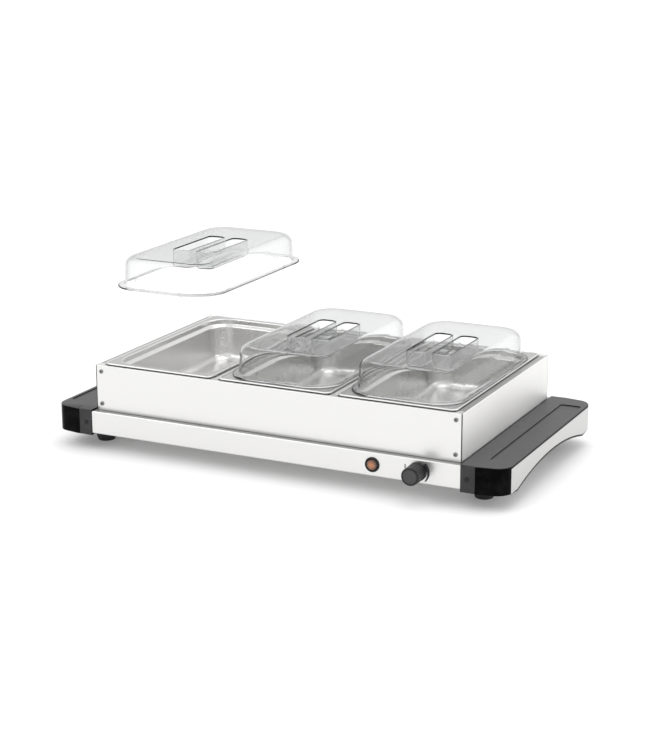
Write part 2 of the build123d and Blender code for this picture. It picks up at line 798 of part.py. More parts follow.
def make_pan(centre: float) -> Part:
    """A food pan: a flat rim with a raised bead and a turned-down edge, and a deep body."""
    inside_depth = rim_flat - pan_bottom - pan_wall
    with BuildPart() as pan:
        with BuildSketch(up_plane(frame_top, centre)):
            RectangleRounded(pan_width, pan_length, pan_corner_radius)
        extrude(amount=rim_top - frame_top)
        fillet(pan.edges().group_by(Axis.Z)[-1], 0.45 * pan_bead_width)
        with BuildSketch(up_plane(rim_flat, centre)):
            RectangleRounded(
                pan_width - 2 * pan_bead_width,
                pan_length - 2 * pan_bead_width,
                pan_corner_radius - pan_bead_width,
            )
        extrude(amount=pan_bead_height, mode=Mode.SUBTRACT)
        # the rim is a shell that is open below
        with BuildSketch(up_plane(frame_top, centre)):
            RectangleRounded(
                pan_width - 2 * pan_wall, pan_length - 2 * pan_wall, pan_corner_radius - pan_wall
            )
        extrude(amount=rim_flat - pan_wall - frame_top, mode=Mode.SUBTRACT)
        add(pan_form(centre, pan_wall, rim_flat - pan_bottom))
        add(pan_form(centre, 0, inside_depth), mode=Mode.SUBTRACT)
    return pan.part


for name, centre in pan_centres.items():
    save(make_pan(centre), f"pan_{name}")

# ---------------------------------------------------------------- lids
flange_width = pan_width - 2 * (pan_bead_width + lid_bead_clearance)
flange_length = pan_length - 2 * (pan_bead_width + lid_end_clearance)
dome_width = flange_width - 2 * lid_flange_width
dome_length = flange_length - 2 * lid_flange_end_width
well_offset = (lid_grip_bar + lid_well_width) / 2


def dome_form(centre: float, seat: float, inset: float) -> Part:
    """The dome's outer shape, or with an inset the space inside its wall."""
    with BuildPart() as form:
        with BuildSketch(up_plane(seat, centre)):
            RectangleRounded(
                dome_width - 2 * inset, dome_length - 2 * inset, lid_dome_radius - inset
            )
        extrude(amount=lid_height - inset, taper=lid_draft)
        fillet(form.edges().group_by(Axis.Z)[-1], lid_edge_radius - inset)
    return form.part


def well_form(centre: float, seat: float, grow: float) -> Part:
    """The two finger wells in a lid's top, grown outwards by a wall."""
    with BuildPart() as form:
        with BuildSketch(down_plane(seat + lid_height, centre)):
            with GridLocations(2 * well_offset, 0, 2, 1):
                RectangleRounded(
                    lid_well_width + 2 * grow, lid_well_length + 2 * grow, lid_well_radius + grow
                )
        extrude(amount=lid_well_depth + grow)
    return form.part


def make_lid(centre: float, seat: float) -> Part:
    """A clear lid: a flange, a dome with two finger wells, and lugs that drop into the pan."""
    with BuildPart() as lid:
        with BuildSketch(up_plane(seat, centre)):
            RectangleRounded(flange_width, flange_length, lid_flange_radius)
        extrude(amount=lid_wall)
        add(dome_form(centre, seat, 0))
        add(dome_form(centre, seat, lid_wall), mode=Mode.SUBTRACT)
        add(well_form(centre, seat, lid_wall))
        add(well_form(centre, seat, 0), mode=Mode.SUBTRACT)
        lug = lid_wall - 0.4
        with BuildSketch(down_plane(seat, centre)):
            with GridLocations(dome_width - lid_wall, 0.6 * dome_length, 2, 2):
                Rectangle(lug, lid_lug_length)
            with GridLocations(0.4 * dome_width, dome_length - lid_wall, 2, 2):
                Rectangle(lid_lug_length, lug)
        extrude(amount=lid_lug_drop)
    return lid.part


for name, centre in pan_centres.items():
    lift = lid_lift if name == "left" else 0.0
    save(make_lid(centre, rim_flat + lift), f"lid_{name}")
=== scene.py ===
"""Looks of the electric buffet server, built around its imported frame.

Metres, +Z up, origin on the floor under the middle of the object. +X runs along the row of pans
and -Y is the front, where the knob and the lamp are.
"""

import logging
import math
from collections.abc import Callable, Iterable, Sequence
from dataclasses import dataclass, field
from enum import Enum
from functools import partialmethod
from typing import Self

import bmesh
import bpy
from mathutils import Matrix, Vector


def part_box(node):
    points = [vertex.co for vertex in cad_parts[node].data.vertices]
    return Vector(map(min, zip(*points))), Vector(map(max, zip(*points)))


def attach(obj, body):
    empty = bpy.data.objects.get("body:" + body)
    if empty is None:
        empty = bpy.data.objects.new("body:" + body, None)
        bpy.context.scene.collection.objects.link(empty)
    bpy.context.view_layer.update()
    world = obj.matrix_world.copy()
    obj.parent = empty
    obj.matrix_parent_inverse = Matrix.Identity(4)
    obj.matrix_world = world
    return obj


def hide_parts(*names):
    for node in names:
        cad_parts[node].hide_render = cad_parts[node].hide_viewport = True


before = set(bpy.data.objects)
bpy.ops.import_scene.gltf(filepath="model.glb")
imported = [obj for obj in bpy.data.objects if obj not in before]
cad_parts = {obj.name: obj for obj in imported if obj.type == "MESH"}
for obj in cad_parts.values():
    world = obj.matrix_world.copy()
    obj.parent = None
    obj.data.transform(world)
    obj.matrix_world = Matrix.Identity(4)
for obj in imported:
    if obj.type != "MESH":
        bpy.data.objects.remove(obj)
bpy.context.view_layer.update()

LOG = logging.getLogger("buffet_server")
MM = 0.001
BOTH = (-1, 1)
PLACES = ("left", "middle", "right")
FRONT = (0, -1, 0)
ORIGIN = (0, 0, 0)
WELD = 0.002 * MM  # vertices nearer than this are one
CLOSE = 0.01 * MM  # a point nearer to a plane than this is on it
UPRIGHT = 0.9  # a normal's share along an axis from which its face faces that way

Test = Callable[[Vector, Vector], bool]


# ---------------------------------------------------------------- modelling bench
class Kind(Enum):
    """What a selection picks."""

    VERTEX = "VERT"
    EDGE = "EDGE"
    FACE = "FACE"


def put_down() -> None:
    """Leave edit mode and deselect every object."""
    if bpy.context.mode != "OBJECT":
        bpy.ops.object.mode_set(mode="OBJECT")
    bpy.ops.object.select_all(action="DESELECT")


def near(value: float, target: float, within: float = CLOSE) -> bool:
    """Whether two lengths are the same within a tolerance."""
    return abs(value - target) < within


def at_height(z: float) -> Test:
    """A test for elements at one height."""
    return lambda p, n: near(p.z, z)


def rounded(corners: Sequence[tuple[float, float, float]], cuts: int = 6) -> list[Vector]:
    """Round the corners of an open profile.

    Args:
        corners: Each corner's two coordinates and its radius, in order.
        cuts: How many straight pieces a rounded corner becomes.

    Returns:
        The profile's points, with an arc at each corner that has a radius.
    """
    points: list[Vector] = []
    for index, (across, up, radius) in enumerate(corners):
        here = Vector((across, up))
        if radius <= 0 or index in (0, len(corners) - 1):
            points.append(here)
            continue
        before = (Vector(corners[index - 1][:2]) - here).normalized()
        after = (Vector(corners[index + 1][:2]) - here).normalized()
        half = before.angle(after) / 2
        reach = radius / math.tan(half)
        centre = here + (before + after).normalized() * (radius / math.sin(half))
        start, end = here + before * reach - centre, here + after * reach - centre
        sweep = start.angle_signed(end)
        for cut in range(cuts + 1):
            turned = start.copy()
            turned.rotate(Matrix.Rotation(-sweep * cut / cuts, 2))
            points.append(centre + turned)
    return points


class Workpiece:
    """One mesh object under the hands of the modeller."""

    def __init__(self, maker: Callable[..., object], name: str, **placing: object) -> None:
        """Add a primitive.

        Args:
            maker: The operator that adds it.
            name: The piece's name.
            placing: The operator's own size and place.
        """
        put_down()
        maker(**placing)
        self.obj: bpy.types.Object = bpy.context.object
        self.obj.name = self.obj.data.name = name
        bpy.ops.object.transform_apply(location=True, rotation=True, scale=True)

    @classmethod
    def sheet(cls, name: str, low: Sequence[float], high: Sequence[float], z: float) -> Self:
        """A flat rectangle that faces up, between two corners at one height.

        Args:
            name: The piece's name.
            low: The lower corner of its box.
            high: The upper corner of its box.
            z: Its height.

        Returns:
            The new workpiece.
        """
        centre = ((low[0] + high[0]) / 2, (low[1] + high[1]) / 2, z)
        piece = cls(bpy.ops.mesh.primitive_plane_add, name, size=1, location=centre)
        piece.scale((high[0] - low[0], high[1] - low[1], 1), centre)
        return piece

    @classmethod
    def disc(
        cls, name: str, radius: float, at: Sequence[float], facing: Sequence[float],
        sides: int = 48,
    ) -> Self:
        """A flat round face about a point, with its normal along a direction.

        Args:
            name: The piece's name.
            radius: Its radius.
            at: Its middle.
            facing: The direction of the face's normal.
            sides: How many sides it has.

        Returns:
            The new workpiece.
        """
        turn = Vector(facing).to_track_quat("Z", "Y").to_euler()
        return cls(
            bpy.ops.mesh.primitive_circle_add, name, vertices=sides, radius=radius,
            fill_type="NGON", location=tuple(at), rotation=tuple(turn),
        )

    @classmethod
    def block(cls, name: str, low: Sequence[float], high: Sequence[float]) -> Self:
        """A box between two corners.

        Args:
            name: The piece's name.
            low: The lower corner of its box.
            high: The upper corner of its box.

        Returns:
            The new workpiece.
        """
        centre = [(a + b) / 2 for a, b in zip(low, high)]
        piece = cls(bpy.ops.mesh.primitive_cube_add, name, size=1, location=centre)
        piece.scale([b - a for a, b in zip(low, high)], centre)
        return piece

    @classmethod
    def casting(cls, name: str, source: bpy.types.Object) -> Self:
        """A copy of another object's mesh, with its loose triangles joined up again.

        Args:
            name: The piece's name.
            source: The object whose mesh is copied.

        Returns:
            The new workpiece.
        """
        piece = cls.__new__(cls)
        put_down()
        piece.obj = bpy.data.objects.new(name, source.data.copy())
        piece.obj.data.name = name
        bpy.context.scene.collection.objects.link(piece.obj)
        piece.pick_all()
        bpy.ops.mesh.remove_doubles(threshold=WELD)
        bpy.ops.mesh.dissolve_limited(angle_limit=math.radians(0.5))
        return piece

    def hold(self) -> None:
        """Select this piece alone and make it the active one."""
        put_down()
        self.obj.select_set(True)
        bpy.context.view_layer.objects.active = self.obj

    def edit(self) -> None:
        """Take this piece into edit mode."""
        if bpy.context.mode != "EDIT_MESH" or bpy.context.object != self.obj:
            self.hold()
            bpy.ops.object.mode_set(mode="EDIT")

    def pick_all(self) -> Self:
        """Select the whole mesh.

        Returns:
            This workpiece.
        """
        self.edit()
        bpy.ops.mesh.select_mode(type="FACE")
        bpy.ops.mesh.select_all(action="SELECT")
        return self

    def pick(self, kind: Kind, test: Test) -> Self:
        """Select the elements that pass a test and no others.

        Args:
            kind: Vertices, edges or faces.
            test: Takes an element's middle and its normal, or for an edge its direction.

        Returns:
            This workpiece.
        """
        self.edit()
        bpy.ops.mesh.select_mode(type=kind.value)
        bpy.ops.mesh.select_all(action="DESELECT")
        mesh = bmesh.from_edit_mesh(self.obj.data)
        if kind is Kind.VERTEX:
            chosen = [v for v in mesh.verts if test(v.co, v.normal)]
        elif kind is Kind.EDGE:
            chosen = [
                e for e in mesh.edges
                if test((e.verts[0].co + e.verts[1].co) / 2, e.verts[1].co - e.verts[0].co)
            ]
        else:
            chosen = [f for f in mesh.faces if test(f.calc_center_median(), f.normal)]
        for item in chosen:
            item.select_set(True)
        mesh.select_flush_mode()
        bmesh.update_edit_mesh(self.obj.data)
        return self

    def move(self, by: Sequence[float]) -> Self:
        """Shift the selection."""
        bpy.ops.transform.translate(value=tuple(by))
        return self

    def scale(self, by: Sequence[float], centre: Sequence[float]) -> Self:
        """Scale the selection, or the whole new primitive, about a point.

        Args:
            by: The factors along the axes.
            centre: The point that stays in place.

        Returns:
            This workpiece.
        """
        bpy.ops.transform.resize(value=tuple(by), center_override=tuple(centre))
        if bpy.context.mode == "OBJECT":
            bpy.ops.object.transform_apply(location=True, rotation=True, scale=True)
        return self

    def turn(self, angle: float, axis: str, centre: Sequence[float]) -> Self:
        """Turn the whole piece about an axis through a point, anticlockwise seen from its tip.

        Args:
            angle: The angle in radians.
            axis: X, Y or Z.
            centre: The point that stays in place.

        Returns:
            This workpiece.
        """
        self.pick_all()
        mesh = bmesh.from_edit_mesh(self.obj.data)
        bmesh.ops.rotate(
            mesh, verts=mesh.verts, cent=Vector(centre), matrix=Matrix.Rotation(angle, 3, axis)
        )
        bmesh.update_edit_mesh(self.obj.data)
        return self

    def extrude(self, by: Sequence[float]) -> Self:
        """Pull the selection out by a vector."""
        bpy.ops.mesh.extrude_region_move(TRANSFORM_OT_translate={"value": tuple(by)})
        return self

    def inset(self, inwards: float, outwards: float = 0.0) -> Self:
        """Inset the selected faces evenly, and move the inner ones along their normals.

        Args:
            inwards: How far the new faces lie inside.
            outwards: How far they move along their normals.

        Returns:
            This workpiece.
        """
        bpy.ops.mesh.inset(
            thickness=inwards, depth=outwards, use_even_offset=True, use_relative_offset=False
        )
        return self

    def follow(self, profile: Sequence[Vector]) -> Self:
        """Inset and raise the one flat face along a profile of (inwards, outwards) points.

        Args:
            profile: The (inwards, outwards) points in order.

        Returns:
            This workpiece.
        """
        self.pick_all()
        for here, after in zip(profile, profile[1:]):
            step = after - here
            self.inset(max(step.x, 0.0), step.y)
        return self

    def bevel(
        self, width: float, segments: int = 3, corners: bool = False
    ) -> Self:
        """Bevel the selected edges, or the selected corner vertices of a flat face.

        Args:
            width: The bevel's width.
            segments: How many faces it has across.
            corners: Whether it rounds corner vertices.

        Returns:
            This workpiece.
        """
        bpy.ops.mesh.bevel(
            offset=width, segments=segments, affect="VERTICES" if corners else "EDGES",
            clamp_overlap=True,
        )
        return self

    def cut(self, at: Sequence[float], normal: Sequence[float]) -> Self:
        """Cut the whole mesh along a plane.

        Args:
            at: A point of the plane.
            normal: The plane's normal.

        Returns:
            This workpiece.
        """
        self.pick_all()
        bpy.ops.mesh.bisect(plane_co=tuple(at), plane_no=tuple(normal))
        return self

    def delete_faces(self, test: Test) -> Self:
        """Delete the faces that pass a test.

        Args:
            test: Takes a face's middle and normal.

        Returns:
            This workpiece.
        """
        self.pick(Kind.FACE, test)
        bpy.ops.mesh.delete(type="FACE")
        return self

    def pick_rims(self, test: Test = lambda p, n: True) -> Self:
        """Select the open edges that pass a test.

        Args:
            test: Takes an edge's middle and direction.

        Returns:
            This workpiece.
        """
        self.edit()
        mesh = bmesh.from_edit_mesh(self.obj.data)
        open_middles = {
            tuple((e.verts[0].co + e.verts[1].co) / 2) for e in mesh.edges if e.is_boundary
        }
        return self.pick(Kind.EDGE, lambda p, n: tuple(p) in open_middles and test(p, n))

    def close(self) -> Self:
        """Fill the one open rim.

        Returns:
            This workpiece.
        """
        self.pick_rims()
        bpy.ops.mesh.edge_face_add()
        return self

    def bridge(self, inner: Self, z: float) -> Self:
        """Join the open rims of this workpiece and an inner one, which are at one height.

        Args:
            inner: The workpiece inside, which is used up.
            z: The height of both rims.

        Returns:
            This workpiece.
        """
        self.absorb([inner]).pick_rims(at_height(z))
        bpy.ops.mesh.bridge_edge_loops()
        return self

    def mend(self) -> Self:
        """Merge doubled vertices and turn the faces outwards.

        Returns:
            This workpiece.
        """
        self.pick_all()
        bpy.ops.mesh.remove_doubles(threshold=WELD)
        bpy.ops.mesh.normals_make_consistent(inside=False)
        return self

    def modify(self, kind: str, **settings: object) -> Self:
        """Add a modifier and apply it.

        Args:
            kind: The modifier's type.
            settings: Its properties.

        Returns:
            This workpiece.
        """
        self.hold()
        modifier = self.obj.modifiers.new(kind.lower(), kind)
        for key, value in settings.items():
            setattr(modifier, key, value)
        bpy.ops.object.modifier_apply(modifier=modifier.name)
        return self

    def thicken(self, wall: float) -> Self:
        """Give a surface its wall, behind its faces.

        Args:
            wall: The thickness.

        Returns:
            This workpiece.
        """
        return self.modify(
            "SOLIDIFY", thickness=wall, offset=-1, use_even_offset=True, use_quality_normals=True
        )

    def carve(self, tool: "Workpiece") -> Self:
        """Cut with another workpiece, which is used up.

        Args:
            tool: The workpiece to cut with.

        Returns:
            This workpiece.
        """
        self.modify("BOOLEAN", operation="DIFFERENCE", object=tool.obj, solver="EXACT")
        bpy.data.objects.remove(tool.obj)
        return self

    def absorb(self, others: Iterable["Workpiece"]) -> Self:
        """Join other workpieces into this one, as separate shells.

        Args:
            others: The workpieces to join, which are used up.

        Returns:
            This workpiece.
        """
        self.hold()
        for other in others:
            other.obj.select_set(True)
        bpy.ops.object.join()
        return self

    def copy(self, name: str, by: Sequence[float] = (0, 0, 0)) -> Self:
        """A copy with its own mesh, shifted by a vector.

        Args:
            name: The piece's name.
            by: The vector to shift by.

        Returns:
            The copy.
        """
        twin = Workpiece.__new__(Workpiece)
        put_down()
        twin.obj = self.obj.copy()
        twin.obj.data = self.obj.data.copy()
        twin.obj.name = twin.obj.data.name = name
        bpy.context.scene.collection.objects.link(twin.obj)
        twin.obj.data.transform(Matrix.Translation(Vector(by)))
        return twin

    def mirrored(self, name: str, across: Sequence[float]) -> Self:
        """A mirrored copy, with factors of -1 for the axes that change sign.

        Args:
            name: The piece's name.
            across: The factors along the axes.

        Returns:
            The copy.
        """
        twin = self.copy(name)
        twin.pick_all().scale(across, ORIGIN)
        bpy.ops.mesh.flip_normals()
        put_down()
        return twin

    def smooth(self, angle: float = 32.0) -> Self:
        """Shade smoothly wherever faces meet at less than an angle in degrees.

        Args:
            angle: The angle in degrees.

        Returns:
            This workpiece.
        """
        self.hold()
        bpy.ops.object.shade_smooth_by_angle(angle=math.radians(angle))
        return self.modify("WEIGHTED_NORMAL", keep_sharp=True, weight=80)

    def paint(self, *finishes: bpy.types.Material) -> Self:
        """Give the piece its materials, the first one all over.

        Args:
            finishes: The materials in order.

        Returns:
            This workpiece.
        """
        self.obj.data.materials.clear()
        for finish in finishes:
            self.obj.data.materials.append(finish)
        return self

    def paint_where(self, index: int, test: Test) -> Self:
        """Give the faces that pass a test another of the piece's materials.

        Args:
            index: The material's place in the piece's list.
            test: Takes a face's middle and normal.

        Returns:
            This workpiece.
        """
        put_down()
        for face in self.obj.data.polygons:
            if test(face.center, face.normal):
                face.material_index = index
        return self

    def mount(self, body: str, slot: str, *nodes: str) -> bpy.types.Object:
        """Let the piece ride on a body and stand for CAD nodes.

        Args:
            body: The body that it moves with.
            slot: The record's material slot that it stands for; not used.
            nodes: The CAD nodes that it replaces.

        Returns:
            The finished object.
        """
        put_down()
        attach(self.obj, body)
        if nodes:
            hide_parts(*nodes)
        LOG.info("%s: %d faces on %s", self.obj.name, len(self.obj.data.polygons), body)
        return self.obj


# ---------------------------------------------------------------- shader arithmetic
class Value:
    """A number socket of a shader that takes part in Python arithmetic."""

    def __init__(self, shader: "Shader", socket: bpy.types.NodeSocket) -> None:
        """Wrap an output socket of a shader's node."""
        self.shader, self.socket = shader, socket

    def math(self, operation: str, other: object, swapped: bool = False) -> "Value":
        """Add a Math node that joins this with another number, which comes first if swapped.

        Args:
            operation: The Math node's operation.
            other: The other number.
            swapped: Whether the other number comes first.

        Returns:
            The node's result.
        """
        first, second = (other, self) if swapped else (self, other)
        node = self.shader.node("ShaderNodeMath", {"operation": operation}, {0: first, 1: second})
        return Value(self.shader, node.outputs[0])

    __add__ = partialmethod(math, "ADD")
    __sub__ = partialmethod(math, "SUBTRACT")
    __mul__ = partialmethod(math, "MULTIPLY")
    __truediv__ = partialmethod(math, "DIVIDE")
    __pow__ = partialmethod(math, "POWER")
    __radd__ = partialmethod(math, "ADD", swapped=True)
    __rsub__ = partialmethod(math, "SUBTRACT", swapped=True)
    __rmul__ = partialmethod(math, "MULTIPLY", swapped=True)
    __rtruediv__ = partialmethod(math, "DIVIDE", swapped=True)
    __rpow__ = partialmethod(math, "POWER", swapped=True)

    def ramp(self, low: float, high: float) -> "Value":
        """Zero below low, one above high, and smooth between.

        Args:
            low: Where it leaves zero.
            high: Where it reaches one.

        Returns:
            The ramp's result.
        """
        node = self.shader.node(
            "ShaderNodeMapRange", {"interpolation_type": "SMOOTHSTEP"}, {0: self, 1: low, 2: high}
        )
        return Value(self.shader, node.outputs[0])


class Shader:
    """One procedural material on a Principled BSDF."""

    def __init__(self, name: str, **constants: object) -> None:
        """Make the material.

        Args:
            name: The material's name.
            constants: Principled inputs that are the same all over, with _ for each space.
        """
        self.material = bpy.data.materials.new(name)
        self.material.use_nodes = True
        self.tree = self.material.node_tree
        self.surface = self.tree.nodes["Principled BSDF"]
        for key, value in constants.items():
            self.surface.inputs[key.replace("_", " ")].default_value = value
        self.place = self.node("ShaderNodeTexCoord").outputs["Object"]

    def node(
        self, kind: str, settings: dict[str, object] | None = None,
        inputs: dict[object, object] | None = None,
    ) -> bpy.types.Node:
        """Add a node.

        Args:
            kind: Its type.
            settings: Its own properties, set first.
            inputs: Values or links for its sockets.

        Returns:
            The node.
        """
        made = self.tree.nodes.new(kind)
        for key, value in (settings or {}).items():
            setattr(made, key, value)
        for key, value in (inputs or {}).items():
            self.feed(made.inputs[key], value)
        return made

    def feed(self, socket: bpy.types.NodeSocket, value: object) -> None:
        """Link a socket, or set its own value.

        Args:
            socket: The input socket.
            value: A number, a colour or an output to link.
        """
        if isinstance(value, Value):
            value = value.socket
        if isinstance(value, bpy.types.NodeSocket):
            self.tree.links.new(value, socket)
        else:
            socket.default_value = value

    def set(self, **inputs: object) -> "Shader":
        """Feed varying values to the Principled node.

        Args:
            inputs: The Principled inputs, with _ for each space.

        Returns:
            This shader.
        """
        for key, value in inputs.items():
            self.feed(self.surface.inputs[key.replace("_", " ")], value)
        return self

    def axes(self) -> tuple[Value, Value, Value]:
        """The three Object coordinates."""
        node = self.node("ShaderNodeSeparateXYZ", None, {0: self.place})
        return tuple(Value(self, out) for out in node.outputs)

    def edge_on(self) -> Value:
        """Zero where the surface is seen square on, and one where it is seen edge on."""
        return Value(self, self.node("ShaderNodeLayerWeight").outputs["Facing"])

    def noise(self, scale: Sequence[float], detail: float = 3.0, rough: float = 0.5) -> Value:
        """Noise with its own scale along each axis, about one half.

        Args:
            scale: How fine it is along each axis.
            detail: How many finer layers it adds.
            rough: How strong they are.

        Returns:
            The noise's value.
        """
        spread = self.node(
            "ShaderNodeMapping", None, {"Vector": self.place, "Scale": tuple(scale)}
        )
        made = self.node(
            "ShaderNodeTexNoise", None,
            {"Vector": spread.outputs[0], "Scale": 1.0, "Detail": detail, "Roughness": rough},
        )
        return Value(self, made.outputs["Fac"])

    def cells(self, scale: float) -> Value:
        """Distance to the nearest of many scattered points."""
        made = self.node("ShaderNodeTexVoronoi", None, {"Vector": self.place, "Scale": scale})
        return Value(self, made.outputs["Distance"])

    def mix(self, factor: object, first: object, second: object) -> bpy.types.NodeSocket:
        """Blend two colours.

        Args:
            factor: How much of the second colour there is.
            first: One colour.
            second: The other colour.

        Returns:
            The blended colour.
        """
        made = self.node(
            "ShaderNodeMix", {"data_type": "RGBA"}, {"Factor": factor, 6: first, 7: second}
        )
        return made.outputs[2]

    def emboss(self, height: object, depth: float) -> "Shader":
        """Raise the surface by a height between 0 and 1 times a depth in metres.

        Args:
            height: The height, varying over the surface.
            depth: What a height of one measures.

        Returns:
            This shader.
        """
        bump = self.node(
            "ShaderNodeBump", None, {"Height": height, "Distance": depth, "Strength": 1.0}
        )
        return self.set(Normal=bump.outputs[0])


def grey(level: float, warmth: float = 0.0) -> tuple[float, float, float, float]:
    """A grey, a little yellower with more warmth."""
    return (level, level * (1 - 0.3 * warmth), level * (1 - warmth), 1.0)


# ---------------------------------------------------------------- finishes
class Grain(Enum):
    """The direction that sheet metal is brushed in, as noise scales along the three axes."""

    ALONG_X = (3.0, 900.0, 900.0)
    ALONG_Y = (900.0, 3.0, 900.0)
    ALONG_Z = (700.0, 700.0, 4.0)
    NONE = (500.0, 500.0, 500.0)


@dataclass(frozen=True)
class Steel:
    """Stainless sheet with a fine brushed grain, faint smudges, slightly uneven gloss and, if
    asked, painted shade near the middle in y.
    """

    name: str
    tone: float = 0.80
    roughness: float = 0.28
    grain: Grain = Grain.ALONG_X
    streaks: float = 0.08
    depth: float = 0.002 * MM
    metallic: float = 1.0
    painted_shade_from: float = 0.0
    painted_shade_width: float = 3.0 * MM
    painted_shade_tone: float = 0.42
    spread: float = 0.14
    smudges: float = 0.05

    def make(self) -> bpy.types.Material:
        """Build the material.

        Returns:
            The material.
        """
        shader = Shader(self.name, Metallic=self.metallic)
        streak = shader.noise(self.grain.value, 4.0, 0.65)
        fine = shader.noise([3 * s for s in self.grain.value], 2.0, 0.5)
        smudge = shader.noise((9.0, 9.0, 9.0), 5.0, 0.6).ramp(0.35, 0.75)
        tint = (streak - 0.5) * self.streaks + (smudge - 0.5) * self.smudges
        colour = shader.mix(
            tint + 0.5, grey(self.tone * (1 - self.spread), 0.01),
            grey(min(self.tone * (1 + self.spread), 1.0), 0.02),
        )
        # Painted shade: darker near the middle in y, fading out over a short band.
        if self.painted_shade_from:
            away = (shader.axes()[1] ** 2) ** 0.5
            unshaded = away.ramp(self.painted_shade_from, self.painted_shade_from + self.painted_shade_width)
            colour = shader.mix(unshaded, grey(self.tone * self.painted_shade_tone), colour)
        shader.set(
            Base_Color=colour,
            Roughness=(streak - 0.5) * self.streaks + smudge * self.smudges + self.roughness,
        )
        shader.emboss(streak * 0.7 + fine * 0.3, self.depth)
        return shader.material


@dataclass(frozen=True)
class Plastic:
    """Moulded plastic or rubber with a fine spark-eroded texture and a trace of dust."""

    name: str
    colour: tuple[float, float, float]
    roughness: float = 0.4
    texture: float = 1500.0
    depth: float = 0.02 * MM
    specular: float = 0.5

    def make(self) -> bpy.types.Material:
        """Build the material.

        Returns:
            The material.
        """
        shader = Shader(self.name, Specular_IOR_Level=self.specular)
        pits = shader.cells(self.texture)
        dust = shader.noise((60.0, 60.0, 60.0), 6.0, 0.6).ramp(0.4, 0.8)
        lighter = tuple(min(1.0, c * 1.35 + 0.006) for c in self.colour)
        shader.set(
            Base_Color=shader.mix(dust, (*self.colour, 1), (*lighter, 1)),
            Roughness=pits * 0.10 + dust * 0.08 + (self.roughness - 0.08),
        )
        shader.emboss(pits, self.depth)
        return shader.material


@dataclass(frozen=True)
class ClearPlastic:
    """Thin clear plastic with a painted dark reflection where it is seen edge on, and faint
    handling marks.
    """

    name: str
    tint: tuple[float, float, float] = (0.96, 0.965, 0.965)
    edge_painted_shade: tuple[float, float, float] = (0.20, 0.20, 0.20)
    sharpness: float = 2.6

    def make(self) -> bpy.types.Material:
        """Build the material.

        Returns:
            The material.
        """
        shader = Shader(self.name, Transmission_Weight=1.0, IOR=1.2, Specular_IOR_Level=0.8)
        marks = shader.noise((30.0, 30.0, 30.0), 6.0, 0.7).ramp(0.5, 0.9)
        # Painted reflection: the colour turns dark grey where the surface is seen edge on.
        edge = shader.edge_on() ** self.sharpness
        shader.set(
            Base_Color=shader.mix(edge, (*self.tint, 1), (*self.edge_painted_shade, 1)),
            Roughness=marks * 0.02 + 0.005,
        )
        return shader.material


@dataclass(frozen=True)
class AmberLens:
    """Coloured lamp plastic that is lighter in the middle, over its lamp."""

    name: str
    centre: tuple[float, float, float]
    radius: float

    def make(self) -> bpy.types.Material:
        """Build the material.

        Returns:
            The material.
        """
        shader = Shader(self.name, Roughness=0.08, Coat_Weight=1.0, Coat_Roughness=0.03, IOR=1.5)
        across, _, up = shader.axes()
        away = ((across - self.centre[0]) ** 2 + (up - self.centre[2]) ** 2) ** 0.5 / self.radius
        flecks = shader.cells(620.0)
        glow = (1 - away.ramp(0.1, 0.95)) * (flecks * 0.9 + 0.35)
        shader.set(
            Base_Color=shader.mix(glow, (0.040, 0.015, 0.008, 1), (0.50, 0.17, 0.045, 1)),
            Emission_Color=shader.mix(glow, (0.0, 0.0, 0.0, 1), (0.5, 0.13, 0.02, 1)),
        )
        shader.surface.inputs["Emission Strength"].default_value = 0.08
        shader.emboss(flecks, 0.12 * MM)
        return shader.material


@dataclass(frozen=True)
class Fibre:
    """Matted mineral fibre."""

    name: str
    colour: tuple[float, float, float] = (0.80, 0.76, 0.62)

    def make(self) -> bpy.types.Material:
        """Build the material.

        Returns:
            The material.
        """
        shader = Shader(self.name, Roughness=0.95)
        strands = shader.noise((900.0, 200.0, 900.0), 6.0, 0.7)
        shader.set(
            Base_Color=shader.mix(strands, (*[c * 0.7 for c in self.colour], 1), (*self.colour, 1))
        )
        shader.emboss(strands, 0.4 * MM)
        return shader.material


